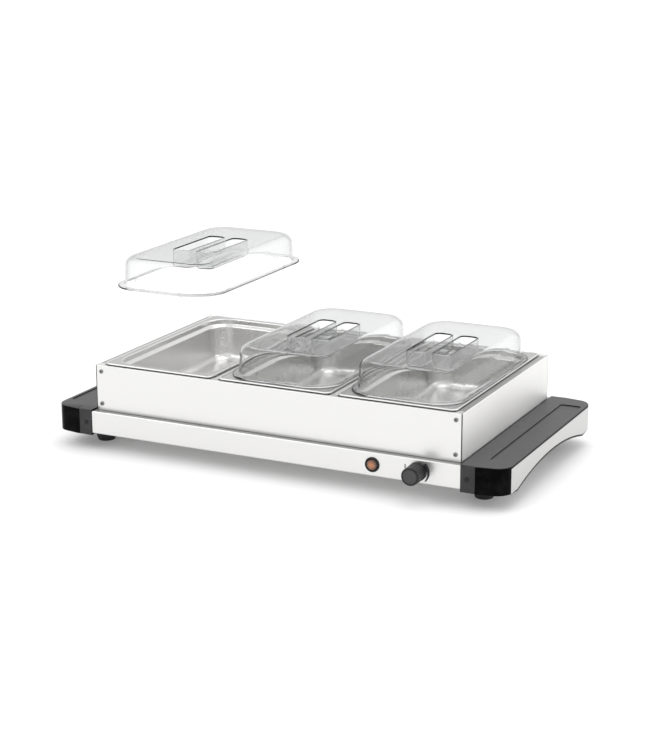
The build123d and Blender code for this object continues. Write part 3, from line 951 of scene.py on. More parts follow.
class Finishes:
    """Every material of the object, made once."""

    PAINTED_SHADE_GAP = 7.5 * MM
    LENS_RADIUS = 8.6 * MM

    def __init__(self, lamp_centre: tuple[float, float, float], frame_front: float) -> None:
        """Make them all.

        Args:
            lamp_centre: The middle of the lamp's lens.
            frame_front: How far the frame reaches from the middle to the front.
        """
        self.panel = Steel("brushed_panel", 0.76, 0.30, streaks=0.05).make()
        self.side_panel = Steel(
            "brushed_side_panel", roughness=0.50, grain=Grain.ALONG_Y, metallic=0.7
        ).make()
        # Painted shade on the warming plate's ledge next to the frame, standing in for the shade
        # and dark reflection of the gap under the housing.
        self.plate = Steel(
            "warming_plate_steel", 0.74, 0.30, streaks=0.05,
            painted_shade_from=frame_front + self.PAINTED_SHADE_GAP,
        ).make()
        # The side sheets' top flanges: their own steel painted darker, as shade.
        self.flange = Steel("brushed_flange_painted_shade", 0.42, 0.34, Grain.ALONG_Y).make()
        # Dark steel painted as shade in the frame's corners and under the pans' rims.
        self.seam = Steel("folded_corner", 0.10, 0.5).make()
        self.pan = Steel("drawn_pan", 0.76, 0.27, Grain.NONE, 0.03, 0.0002 * MM).make()
        # The pan's own steel painted darker on its flat rim, as shade.
        self.pan_rim = Steel("pan_rim", 0.50, 0.30, Grain.NONE, 0.03, 0.0002 * MM).make()
        self.band = Steel("brushed_band", 0.56, 0.34, Grain.ALONG_Y).make()
        self.zinc = Steel("zinc_sheet", 0.60, 0.45, Grain.NONE).make()
        self.screw = Steel("screw_steel", 0.26, 0.34, Grain.NONE, 0.08).make()
        # Near-black painted into the screws' cross recesses as shade.
        self.painted_recess_shade = Plastic("screw_recess_painted_shade", (0.02, 0.02, 0.02), 0.6).make()
        self.foil = Steel("heater_foil", 0.80, 0.35, Grain.NONE, 0.15, 0.02 * MM).make()
        self.clear = ClearPlastic("clear_lid").make()
        self.gloss_black = Plastic(
            "gloss_black", (0.001, 0.001, 0.001), 0.20, 900.0, 0.004 * MM, 0.03
        ).make()
        self.matt_black = Plastic(
            "textured_black", (0.026, 0.026, 0.027), 0.42, 1900.0, 0.06 * MM, 0.5
        ).make()
        self.lug_black = Plastic(
            "lug_black", (0.026, 0.026, 0.027), 0.5, 1500.0, 0.12 * MM, 0.3
        ).make()
        self.satin_black = Plastic(
            "satin_black", (0.010, 0.010, 0.011), 0.34, specular=0.3
        ).make()
        self.knob_face = Plastic("knob_face", (0.052, 0.052, 0.054), 0.38, specular=0.3).make()
        self.rubber = Plastic("rubber", (0.012, 0.012, 0.012), 0.62, 700.0, 0.05 * MM).make()
        self.pad = Plastic("soft_pad", (0.62, 0.62, 0.60), 0.6).make()
        self.print = Plastic("dial_print", (0.02, 0.02, 0.022), 0.5, 2500.0, 0.0).make()
        self.pale = Plastic("pale_plastic", (0.62, 0.60, 0.54), 0.5).make()
        self.brass = Steel("brass", 0.62, 0.32, Grain.NONE).make()
        self.fibre = Fibre("mineral_fibre").make()
        self.lens = AmberLens("amber_lens", lamp_centre, self.LENS_RADIUS).make()


# ---------------------------------------------------------------- shared shapes
def middle(node: str) -> Vector:
    """The middle of a CAD node's box."""
    low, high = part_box(node)
    return (low + high) / 2


def rounded_sheet(
    name: str, low: Sequence[float], high: Sequence[float], z: float, radius: float, cuts: int = 8
) -> Workpiece:
    """A flat rectangle with rounded corners that faces up."""
    piece = Workpiece.sheet(name, low, high, z)
    return piece.pick(Kind.VERTEX, lambda p, n: True).bevel(radius, cuts, corners=True)


def turned(
    name: str, at: Sequence[float], facing: Sequence[float],
    profile: Sequence[tuple[float, float]], sides: int = 48,
) -> Workpiece:
    """A round form that grows out of a flat face.

    Args:
        name: The piece's name.
        at: The middle of its back.
        facing: The direction that it grows in.
        profile: Its (radius, reach) points from the back to the front.
        sides: How many sides its circles have.

    Returns:
        The form, open at the back and closed by a flat face at the front.
    """
    piece = Workpiece.disc(name, profile[0][0], at, facing, sides)
    piece.pick_all()
    for (radius, reach), (after, further) in zip(profile, profile[1:]):
        piece.inset(max(radius - after, 0.0) * math.cos(math.pi / sides), further - reach)
        if after > radius:
            centre = Vector(at) + Vector(facing) * further
            grown = after / radius
            piece.scale((grown, grown, grown), centre)
    return piece


def inwards(low: Vector, high: Vector, across: float, along: float) -> tuple[Vector, Vector]:
    """Two opposite corners, moved inwards by a width across and a width along."""
    step = Vector((across, along, 0))
    return low + step, high - step


def pressed_edge(
    name: str, low: Vector, high: Vector, z: float, radius: float, profile: Sequence[Vector],
    cuts: int = 8,
) -> Workpiece:
    """The outer edge of a pressed form, which follows a profile and is open inside it.

    Args:
        name: The piece's name.
        low: The lower corner of its box.
        high: The upper corner of its box.
        z: The height that it starts at.
        radius: The radius of its corners.
        profile: The (inwards, outwards) points in order.
        cuts: How many straight pieces a corner becomes.

    Returns:
        The edge.
    """
    piece = rounded_sheet(name, low, high, z, radius, cuts).follow(profile)
    bpy.ops.mesh.delete(type="ONLY_FACE")
    return piece


# ---------------------------------------------------------------- food pans
@dataclass
class FoodPan:
    """A food pan pressed from one sheet: a rolled bead, a flat rim, a shoulder and a basin."""

    place: str
    finishes: "Finishes"
    wall: float = 0.8 * MM
    rim_drop: float = 3.0 * MM
    edge_gap: float = 1.2 * MM
    bead_width: float = 2.4 * MM
    bead_height: float = 0.8 * MM
    corner_radius: float = 9.0 * MM
    rim_width: float = 9.5 * MM
    rim_end_width: float = 11.0 * MM
    opening_radius: float = 36.0 * MM
    lip_radius: float = 2.0 * MM
    shoulder_drop: float = 8.0 * MM
    shoulder_step: float = 4.0 * MM
    bottom_radius: float = 12.0 * MM
    bottom_reach: float = 14.0 * MM
    draft: float = math.radians(4.0)
    bead_rounds: tuple[float, float] = (0.95 * MM, 1.0 * MM)
    bead_slope: float = 0.25 * MM
    lip_round: float = 1.9 * MM
    shoulder_rounds: tuple[float, float] = (1.6 * MM, 2.2 * MM)

    def rim(self, low: Vector, high: Vector) -> Workpiece:
        """The turned-down edge and the rolled bead.

        Args:
            low: The lower corner of the pan's box.
            high: The upper corner of the pan's box.

        Returns:
            The edge, open inside.
        """
        edge = self.rim_drop - self.edge_gap
        profile = rounded((
            (0.0, 0.0, 0.0),
            (0.0, edge, self.bead_rounds[0]),
            (self.bead_width, edge, self.bead_rounds[1]),
            (self.bead_width + self.bead_slope, edge - self.bead_height, 0.0),
        ))
        name = f"{self.place}_food_pan"
        return pressed_edge(name, low, high, high.z - edge, self.corner_radius, profile)

    def basin(self, low: Vector, high: Vector) -> Workpiece:
        """The basin inside the flat rim, from its rounded lip down to its flat bottom.

        Args:
            low: The lower corner of its box.
            high: The upper corner of its box.

        Returns:
            The basin, open at its lip.
        """
        flat = high.z - self.bead_height
        lip, step = self.lip_radius, self.shoulder_step
        corners = inwards(low, high, self.rim_width - lip, self.rim_end_width - lip)
        piece = rounded_sheet("basin", *corners, flat, self.opening_radius + lip)
        shoulder = self.shoulder_drop + step
        depth = flat - low.z - self.wall
        run = (depth - shoulder) * math.tan(self.draft)
        profile = rounded((
            (0.0, 0.0, 0.0),
            (lip, 0.0, self.lip_round),
            (lip, -self.shoulder_drop, self.shoulder_rounds[0]),
            (lip + step, -shoulder, self.shoulder_rounds[1]),
            (lip + step + run, -depth, self.bottom_radius),
            (lip + step + run + self.bottom_reach, -depth, 0.0),
        ))
        return piece.follow(profile)

    def build(self) -> bpy.types.Object:
        """Make the pan and seat it in the frame.

        Returns:
            The finished object.
        """
        low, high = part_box(f"pan_{self.place}")
        flat = high.z - self.bead_height
        piece = self.rim(low, high).bridge(self.basin(low, high), flat)
        piece.mend().thicken(self.wall).smooth(28.0)
        piece.paint(self.finishes.pan, self.finishes.pan_rim)
        # Painted shade: the flat rim faces get the darker copy of the pan's steel.
        piece.paint_where(1, lambda p, n: n.z > UPRIGHT and near(p.z, flat, 0.05 * MM))
        return piece.mount(f"{self.place}_pan", "pan_stainless", f"pan_{self.place}")


# ---------------------------------------------------------------- lids
@dataclass
class Lid:
    """A clear lid: a flange, a dome with a crowned top, and two finger wells beside a grip bar."""

    place: str
    finish: bpy.types.Material
    wall: float = 2.2 * MM
    flange_radius: float = 46.0 * MM
    flange_round: float = 0.9 * MM
    flange_reach: float = 1.2 * MM
    flange_width: float = 7.0 * MM
    flange_end_width: float = 10.0 * MM
    foot_radius: float = 2.6 * MM
    foot_round: float = 2.4 * MM
    dome_radius: float = 41.0 * MM
    edge_radius: float = 14.0 * MM
    crown: float = 1.2 * MM
    crown_reach: float = 19.0 * MM
    draft: float = math.radians(3.0)
    height: float = 42.95 * MM  # its flange stops just clear of the pan's rim
    well_width: float = 26.0 * MM
    well_length: float = 112.0 * MM
    well_depth: float = 22.0 * MM
    well_radius: float = 8.0 * MM
    well_edge: float = 0.9 * MM
    well_above: float = 4.0 * MM
    well_lean: float = 0.4 * MM
    well_floor_round: float = 3.0 * MM
    well_floor_reach: float = 5.0 * MM
    grip_bar: float = 13.0 * MM
    lug_length: float = 8.0 * MM
    lug_drop: float = 3.0 * MM
    lug_reach: float = 0.9 * MM
    lug_round: float = 0.4 * MM
    lug_gap: float = 0.02 * MM
    side_lug_share: float = 0.6
    end_lug_share: float = 0.4

    def flange(self, low: Vector, high: Vector, seat: float) -> Workpiece:
        """The flange's edge, up to its flat top.

        Args:
            low: The lower corner of its box.
            high: The upper corner of its box.
            seat: The height of the flange's underside.

        Returns:
            The flange, open inside.
        """
        profile = rounded((
            (0.0, 0.0, 0.0),
            (0.0, self.wall, self.flange_round),
            (self.flange_reach, self.wall, 0.0),
        ), 4)
        name = f"{self.place}_clear_lid"
        return pressed_edge(name, low, high, seat, self.flange_radius, profile, 12)

    def dome(self, low: Vector, high: Vector, seat: float) -> Workpiece:
        """The dome, from the flange up to the flat middle of its top.

        Args:
            low: The lower corner of its box.
            high: The upper corner of its box.
            seat: The height of the flange's underside.

        Returns:
            The dome, open at its foot and its top.
        """
        foot, top = self.foot_radius, self.height - self.wall
        corners = inwards(low, high, self.flange_width - foot, self.flange_end_width - foot)
        piece = rounded_sheet("dome", *corners, seat + self.wall, self.dome_radius + foot, 12)
        lean = top * math.tan(self.draft)
        profile = rounded((
            (0.0, 0.0, 0.0),
            (foot, 0.0, self.foot_round),
            (foot + lean, top - self.crown, self.edge_radius),
            (foot + lean + self.edge_radius + self.crown_reach, top, 0.0),
        ), 9)
        return piece.follow(profile)

    def well_tool(self, centre: float, seat: float) -> Workpiece:
        """The rounded block that leaves one finger well.

        Args:
            centre: The well's middle across the lid.
            seat: The height of the flange's underside.

        Returns:
            The block.
        """
        deep = self.well_above + self.well_depth
        half_width, half_length = self.well_width / 2, self.well_length / 2
        tool = rounded_sheet(
            "well", (centre - half_width, -half_length), (centre + half_width, half_length),
            seat + self.height + self.well_above, self.well_radius, 7,
        )
        tool.pick_all()
        bpy.ops.mesh.flip_normals()
        tool.follow(rounded((
            (0.0, 0.0, 0.0),
            (self.well_lean, deep, self.well_floor_round),
            (self.well_floor_reach, deep, 0.0),
        ), 5))
        return tool.close().mend()

    def build(self) -> bpy.types.Object:
        """Make the lid at its own height.

        Returns:
            The finished object.
        """
        low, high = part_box(f"lid_{self.place}")
        centre = (low.x + high.x) / 2
        seat = high.z - self.height
        piece = self.flange(low, high, seat)
        piece.bridge(self.dome(low, high, seat), seat + self.wall).close().mend()
        offset = (self.grip_bar + self.well_width) / 2
        for side in BOTH:
            piece.carve(self.well_tool(centre + side * offset, seat))
        brim, margin = seat + self.height, 0.1 * MM
        half_width, half_length = self.well_width / 2 + margin, self.well_length / 2 + margin

        def on_brim(p: Vector, n: Vector) -> bool:
            """Whether an edge runs round a well's brim, and doesn't cross it.

            Args:
                p: The edge's middle.
                n: The edge's direction.

            Returns:
                Whether it does.
            """
            aside = abs(abs(p.x - centre) - offset)
            crosses = abs(n.normalized().y) > 0.95 and aside < self.well_width / 2 - 4 * MM
            inside = aside < half_width and abs(p.y) < half_length
            return near(p.z, brim, 0.4 * MM) and inside and not crosses

        piece.pick(Kind.EDGE, on_brim).bevel(self.well_edge)
        piece.delete_faces(lambda p, n: near(p.z, seat) and n.z < -UPRIGHT)
        piece.thicken(self.wall)
        piece.absorb(self.lugs(centre, low, high, seat))
        piece.smooth(40.0).paint(self.finish)
        return piece.mount(f"{self.place}_lid", "clear_plastic", f"lid_{self.place}")

    def lugs(self, centre: float, low: Vector, high: Vector, seat: float) -> list[Workpiece]:
        """The small lugs that drop inside the pan's rim.

        Args:
            centre: The lid's middle across.
            low: The lower corner of its box.
            high: The upper corner of its box.
            seat: The height of the flange's underside.

        Returns:
            The lugs.
        """
        half_width = (high.x - low.x) / 2 - self.flange_width - self.wall / 2
        half_length = (high.y - low.y) / 2 - self.flange_end_width - self.wall / 2
        thick, reach = self.lug_reach, self.lug_length / 2
        spots = [(sx * half_width, sy * self.side_lug_share * half_length, thick, reach)
                 for sx in BOTH for sy in BOTH]
        spots += [(sx * self.end_lug_share * half_width, sy * half_length, reach, thick)
                  for sx in BOTH for sy in BOTH]
        lugs = []
        for x, y, half_x, half_y in spots:
            lug = Workpiece.block(
                "lug", (centre + x - half_x, y - half_y, seat - self.lug_drop),
                (centre + x + half_x, y + half_y, seat - self.lug_gap),
            )
            lug.pick(Kind.EDGE, lambda p, n: p.z < seat - self.lug_drop / 2).bevel(self.lug_round)
            lugs.append(lug)
        return lugs


# ---------------------------------------------------------------- handles
@dataclass
class Handle:
    """A moulded side handle, hollow below, with a sunk grip pad and a steel strip outside."""

    finishes: "Finishes"
    wall: float = 2.6 * MM
    lug_width: float = 21.0 * MM
    lug_recess: float = 0.6 * MM
    end_sweep: float = 7.0 * MM
    corner_radius: float = 18.0 * MM
    edge_radius: float = 1.2 * MM
    pad_depth: float = 1.2 * MM
    pad_inset: float = 27.0 * MM
    pad_margin: float = 6.0 * MM
    pad_reach: float = 144.0 * MM
    pad_radius: float = 5.0 * MM
    pad_clearance: float = 6.0 * MM
    band_top: float = 3.5 * MM
    band_reach: float = 158.0 * MM
    band_thickness: float = 1.0 * MM
    band_gap: float = 0.02 * MM
    band_clearance: float = 0.1 * MM
    band_round: float = 0.3 * MM
    arch_height: float = 17.0 * MM
    arch_reach: float = 134.0 * MM
    arch_cuts: int = 14
    low: Vector = field(init=False)
    high: Vector = field(init=False)

    def __post_init__(self) -> None:
        """Read the right handle's place."""
        self.low, self.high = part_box("handle_right")

    def shape_arch(self, piece: Workpiece, beyond: float) -> None:
        """Raise the lower edge of the outer side to an arch.

        Args:
            piece: The handle's body or its strip.
            beyond: Only what is further out than this moves.
        """
        stations = [self.arch_reach * i / self.arch_cuts
                    for i in range(-self.arch_cuts, self.arch_cuts + 1)]
        for y in stations:
            piece.cut((0, y, 0), (0, 1, 0))
        for y in stations:
            rise = self.arch_height * (1 - (y / self.arch_reach) ** 2)
            piece.pick(
                Kind.VERTEX,
                lambda p, n: near(p.y, y) and near(p.z, self.low.z) and p.x > beyond,
            ).move((0, 0, rise))

    def plan(self) -> Workpiece:
        """The solid outline: straight lugs, swept ends and rounded outer corners.

        Returns:
            The solid outline.
        """
        low, high = self.low, self.high
        lug_end = low.x + self.lug_width
        piece = Workpiece.sheet("right_handle", low, high, low.z)
        piece.cut((lug_end, 0, 0), (1, 0, 0))
        piece.pick(Kind.VERTEX, lambda p, n: p.x > high.x - MM)
        piece.scale((1, 1 - self.end_sweep / high.y, 1), ORIGIN)
        piece.pick(Kind.VERTEX, lambda p, n: p.x > high.x - MM)
        piece.bevel(self.corner_radius, 10, corners=True)
        piece.pick_all().extrude((0, 0, high.z - low.z))
        return piece.mend()

    def body(self) -> Workpiece:
        """The black moulding.

        Returns:
            The finished moulding.
        """
        low, high = self.low, self.high
        lug_end = low.x + self.lug_width
        piece = self.plan()
        piece.pick(
            Kind.EDGE,
            lambda p, n: near(p.z, high.z) and p.x > low.x + MM
            and not (near(p.x, lug_end) and abs(p.y) < MM),
        ).bevel(self.edge_radius, 4)
        tool = rounded_sheet(
            "pad", (low.x + self.pad_inset, -self.pad_reach),
            (high.x - self.pad_margin, self.pad_reach), high.z - self.pad_depth, self.pad_radius,
        )
        tool.pick_all().inset(0.0, self.pad_clearance)
        piece.carve(tool.close().mend())
        piece.cut((lug_end - self.lug_recess / 2, 0, 0), (1, 0, 0))
        for side in BOTH:
            piece.pick(
                Kind.VERTEX,
                lambda p, n: p.x < lug_end - self.lug_recess / 4
                and side * p.y > high.y - 2 * self.edge_radius,
            ).move((0, -side * self.lug_recess, 0))
        band_face = high.z - self.band_top
        straight = high.y - self.end_sweep - self.corner_radius
        piece.cut((0, 0, band_face), (0, 0, 1))
        for side in BOTH:
            piece.cut((0, side * straight, 0), (0, 1, 0))
        piece.pick(
            Kind.FACE, lambda p, n: n.x > UPRIGHT and abs(p.y) < straight and p.z < band_face
        ).extrude((-self.band_thickness, 0, 0))
        piece.delete_faces(lambda p, n: near(p.z, low.z) and n.z < -UPRIGHT)
        self.shape_arch(piece, high.x - 2 * self.band_thickness)
        piece.mend().modify("SOLIDIFY", thickness=self.wall, offset=-1)
        worn = self.finishes
        piece.smooth(30.0).paint(worn.gloss_black, worn.matt_black, worn.lug_black)
        floor = high.z - self.pad_depth
        piece.paint_where(1, lambda p, n: n.z > 0.5 and p.z > floor - 0.1 * MM)
        lug_face = high.y - 2 * self.lug_recess
        piece.paint_where(
            2, lambda p, n: p.x < lug_end and abs(p.y) > lug_face and abs(n.y) > UPRIGHT
        )
        return piece

    def strip(self) -> Workpiece:
        """The brushed steel strip let into the outer side.

        Returns:
            The finished strip.
        """
        low, high, gap = self.low, self.high, self.band_gap
        piece = Workpiece.block(
            "right_handle_band",
            (high.x - self.band_thickness + gap, -self.band_reach, low.z),
            (high.x, self.band_reach, high.z - self.band_top - self.band_clearance),
        )
        self.shape_arch(piece, low.x)
        piece.pick(
            Kind.EDGE, lambda p, n: p.x > high.x - gap
            and (p.z > high.z - self.band_top - MM or abs(p.y) > self.band_reach - gap)
        ).bevel(self.band_round, 2)
        return piece.mend().smooth(30.0).paint(self.finishes.band)

    def build(self) -> None:
        """Make both handles and both strips."""
        for made, slot, node in (
            (self.body(), "handle_plastic", "handle"),
            (self.strip(), "band_stainless", "handle_band"),
        ):
            twin = made.mirrored(made.obj.name.replace("right", "left"), (-1, 1, 1))
            made.mount("base", slot, f"{node}_right")
            twin.mount("base", slot, f"{node}_left")


# ---------------------------------------------------------------- feet, knob, lamp and screws
@dataclass
class Foot:
    """A rubber foot with a rim above a taper, and a recess for its screw."""

    finish: bpy.types.Material
    top_radius: float = 17.5 * MM
    bottom_radius: float = 12.5 * MM
    rim: float = 11.0 * MM
    step_in: float = 1.3 * MM
    step_down: float = 0.2 * MM
    recess_radius: float = 4.2 * MM

    def build(self) -> None:
        """Model one foot and copy it to the four places."""
        low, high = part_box("foot_front_right")
        centre = middle("foot_front_right")
        tall = high.z - low.z
        profile = rounded((
            (self.top_radius, 0.0, 0.0),
            (self.top_radius, self.rim, 0.9 * MM),
            (self.top_radius - self.step_in, self.rim + self.step_down, 0.3 * MM),
            (self.bottom_radius, tall, 1.5 * MM),
            (self.recess_radius, tall, 0.5 * MM),
            (self.recess_radius, tall / 2, 0.0),
        ), 4)
        foot = turned(
            "front_right_foot", (centre.x, centre.y, high.z), (0, 0, -1),
            [tuple(p) for p in profile], 40,
        )
        foot.close().smooth(35.0).paint(self.finish)
        for place in ("front_left", "back_left", "back_right"):
            twin = foot.copy(f"{place}_foot", middle(f"foot_{place}") - centre)
            twin.mount("base", "foot_rubber", f"foot_{place}")
        foot.mount("base", "foot_rubber", "foot_front_right")


@dataclass
class Knob:
    """The thermostat's knob, with a fluted grip and a paler sunk face."""

    finishes: "Finishes"
    flutes: int = 20
    flute_depth: float = 0.075
    flute_shares: tuple[tuple[int, float], ...] = ((0, 1.0), (1, 0.6), (3, 0.6))
    flute_from_back: float = 3.4 * MM
    flute_from_front: float = 3.6 * MM
    flute_end: float = 0.4 * MM
    rim_width: float = 1.5 * MM
    face_sink: float = 0.35 * MM
    scale_radius: float = 17.5 * MM
    scale_width: float = 3.0 * MM
    scale_lean: float = 2.2 * MM
    scale_turn: float = math.radians(80.0)
    scale_sweep: float = math.radians(50.0)
    ink: float = 0.05 * MM
    off_mark_from: tuple[float, float] = (-19.0 * MM, 1.8 * MM)
    off_mark_to: tuple[float, float] = (-17.4 * MM, 7.6 * MM)

    def build(self) -> None:
        """Model the knob on its shaft's axis, and the marks round it on the panel."""
        low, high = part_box("knob")
        centre = middle("knob")
        radius, length = (high.z - low.z) / 2, high.y - low.y
        flute_start, flute_end = self.flute_from_back, length - self.flute_from_front
        face = length - self.face_sink
        narrowing = (
            (0.0, 0.0), (0.0, 2.4 * MM), (0.15 * MM, flute_start - self.flute_end),
            (0.2 * MM, flute_start), (0.55 * MM, flute_end),
            (0.6 * MM, flute_end + self.flute_end), (0.65 * MM, length - 1.2 * MM),
            (0.95 * MM, length - 0.45 * MM), (1.5 * MM, length - 0.08 * MM),
            (1.8 * MM, length), (1.8 * MM + self.rim_width, length),
            (2.0 * MM + self.rim_width, face), (2.3 * MM + self.rim_width, face),
        )
        profile = [(radius - less, reach) for less, reach in narrowing]
        back = (centre.x, high.y, centre.z)
        knob = turned("dial_knob", back, FRONT, profile, 4 * self.flutes)

        def in_flute(share: int) -> Test:
            """A test for the vertices at one place across each flute.

            Args:
                share: The place, counted in vertices across a flute.

            Returns:
                The test.
            """
            def test(p: Vector, n: Vector) -> bool:
                """Whether a vertex is at that place, between the ends of the flutes."""
                angle = math.atan2(p.z - centre.z, p.x - centre.x) / (2 * math.pi)
                index = round(angle * 4 * self.flutes) % 4
                reach = high.y - p.y
                return index == share and flute_start - 0.1 * MM < reach < flute_end + 0.1 * MM
            return test

        for share, part in self.flute_shares:
            knob.pick(Kind.VERTEX, in_flute(share))
            shrink = 1 - self.flute_depth * part
            knob.scale((shrink, 1, shrink), (centre.x, 0, centre.z))
        knob.close().smooth(38.0).paint(self.finishes.satin_black, self.finishes.knob_face)
        face_radius = radius - 2.0 * MM - self.rim_width
        knob.paint_where(
            1, lambda p, n: n.y < -UPRIGHT
            and math.hypot(p.x - centre.x, p.z - centre.z) < face_radius,
        )
        knob.mount("knob", "control_plastic", "knob")
        self.marks(centre)

    def marks(self, centre: Vector) -> None:
        """Print a wedge-shaped heat scale and an off mark on the panel.

        Args:
            centre: The knob's middle.
        """
        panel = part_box("base_cover")[0].y
        ink = self.ink
        at = (centre.x, panel - ink / 2, centre.z)
        scale = Workpiece.disc("heat_scale", self.scale_radius, at, FRONT, 96)
        scale.pick_all().extrude((0, -ink, 0))
        lean = (
            centre.x - self.scale_lean * math.cos(self.scale_turn), panel + MM,
            centre.z - self.scale_lean * math.sin(self.scale_turn),
        )
        inner_radius = self.scale_radius - self.scale_width
        tool = Workpiece.disc("inner", inner_radius, lean, FRONT, 96)
        tool.pick_all().extrude((0, -3 * MM, 0))
        scale.mend().carve(tool.mend())
        for side in BOTH:
            beyond = Vector((-math.sin(self.scale_sweep), 0, side * math.cos(self.scale_sweep)))
            scale.cut(centre, beyond)
            scale.delete_faces(lambda p, n: (p - centre).dot(beyond) > 0)
        off = Workpiece.block(
            "off_mark",
            (centre.x + self.off_mark_from[0], panel - ink, centre.z + self.off_mark_from[1]),
            (centre.x + self.off_mark_to[0], panel, centre.z + self.off_mark_to[1]),
        )
        scale.absorb([off])
        scale.paint(self.finishes.print).mount("base", "control_plastic")


@dataclass
class Lamp:
    """The pilot lamp: a black bezel round a domed, cut lens."""

    finishes: "Finishes"

    def build(self) -> None:
        """Make the bezel and the lens."""
        low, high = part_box("lamp_bezel")
        centre = middle("lamp_bezel")
        at = (centre.x, high.y, centre.z)
        outer, reach = (high.z - low.z) / 2, high.y - low.y
        lens_low, lens_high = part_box("lamp_lens")
        inner, dome = (lens_high.z - lens_low.z) / 2, lens_high.y - lens_low.y
        bezel = turned(
            "lamp_surround", at, FRONT,
            [
                (outer, 0.0), (outer, 0.9 * MM), (outer - 0.25 * MM, 1.6 * MM),
                (outer - 0.8 * MM, reach - 0.15 * MM), (outer - 1.3 * MM, reach),
                (inner + 0.3 * MM, reach), (inner + 0.05 * MM, reach - 0.3 * MM),
                (inner, 0.6 * MM), (inner - 0.4 * MM, 0.6 * MM),
            ],
        )
        bezel.close().smooth(35.0).paint(self.finishes.satin_black)
        bezel.mount("base", "control_plastic", "lamp_bezel")
        lens = turned(
            "lamp_cap", at, FRONT,
            [
                (inner - 0.1 * MM, 0.7 * MM), (inner - 0.1 * MM, 0.35 * dome),
                (0.86 * inner, 0.62 * dome), (0.60 * inner, 0.86 * dome),
                (0.30 * inner, 0.98 * dome), (0.10 * inner, dome),
            ],
            14,
        )
        lens.close().paint(self.finishes.lens).mount("base", "amber_lens", "lamp_lens")


@dataclass
class Screws:
    """Pan-head screws with a cross recess."""

    finishes: "Finishes"
    radius: float = 3.2 * MM
    height: float = 1.6 * MM
    slot: float = 1.0 * MM
    arm_share: float = 0.55
    floor_share: float = 0.55
    turn_step: float = 31.0

    def master(self, finish: bpy.types.Material) -> Workpiece:
        """One head at the origin, which faces the front.

        Args:
            finish: Its material.

        Returns:
            The head.
        """
        r, h = self.radius, self.height
        head = turned(
            "screw_head", ORIGIN, FRONT,
            [(r, 0.0), (r, 0.35 * h), (0.95 * r, 0.62 * h), (0.8 * r, 0.84 * h),
             (0.55 * r, 0.96 * h), (0.25 * r, h)],
            28,
        ).close()
        half, deep, reach = self.slot / 2, self.floor_share * h, self.arm_share * r
        for arm in ((reach, half), (half, reach)):
            tool = Workpiece.block("arm", (-arm[0], -h - MM, -arm[1]), (arm[0], -deep, arm[1]))
            head.carve(tool)
        # Painted shade: the cross recess's walls and floor get near-black.
        head.smooth(35.0).paint(finish, self.finishes.painted_recess_shade)
        return head.paint_where(
            1, lambda p, n: p.y > -0.8 * h and math.hypot(p.x, p.z) < 0.56 * r
        )

    def group(
        self, name: str, node: str, body: str, finish: bpy.types.Material,
        spots: Sequence[Sequence[float]],
    ) -> None:
        """Copy the head to its places and join the copies into one piece.

        Args:
            name: The piece's name.
            node: The CAD node that it replaces.
            body: The body that it moves with.
            finish: The heads' material.
            spots: Each head's x, the panel's y and the height; heads at the back face the back.
        """
        head = self.master(finish)
        heads = []
        for x, y, z in spots:
            one = head.copy(name)
            if y > 0:
                one.pick_all().scale((1, -1, 1), ORIGIN)
                bpy.ops.mesh.flip_normals()
            one.turn(math.radians(self.turn_step * (x + z) / MM % 90), "Y", ORIGIN)
            put_down()
            one.obj.data.transform(Matrix.Translation((x, y, z)))
            heads.append(one)
        bpy.data.objects.remove(head.obj)
        heads[0].absorb(heads[1:]).mount(body, "screws", node)

    def build(self) -> None:
        """Fit the frame's screws and the handles' screws."""
        for name, node, body, finish in (
            ("frame_screw_heads", "frame_screws", "frame", self.finishes.screw),
            ("handle_screw_heads", "handle_screws", "base", self.finishes.satin_black),
        ):
            low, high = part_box(node)
            x, y = high.x - self.radius, high.y - self.height
            heights = {low.z + self.radius, high.z - self.radius}
            if high.z - low.z < 3 * self.radius:
                heights = {(low.z + high.z) / 2}
            corners = [(sx * x, sy * y) for sx in BOTH for sy in BOTH]
            spots = [(*corner, z) for corner in corners for z in sorted(heights)]
            self.group(name, node, body, finish, spots)


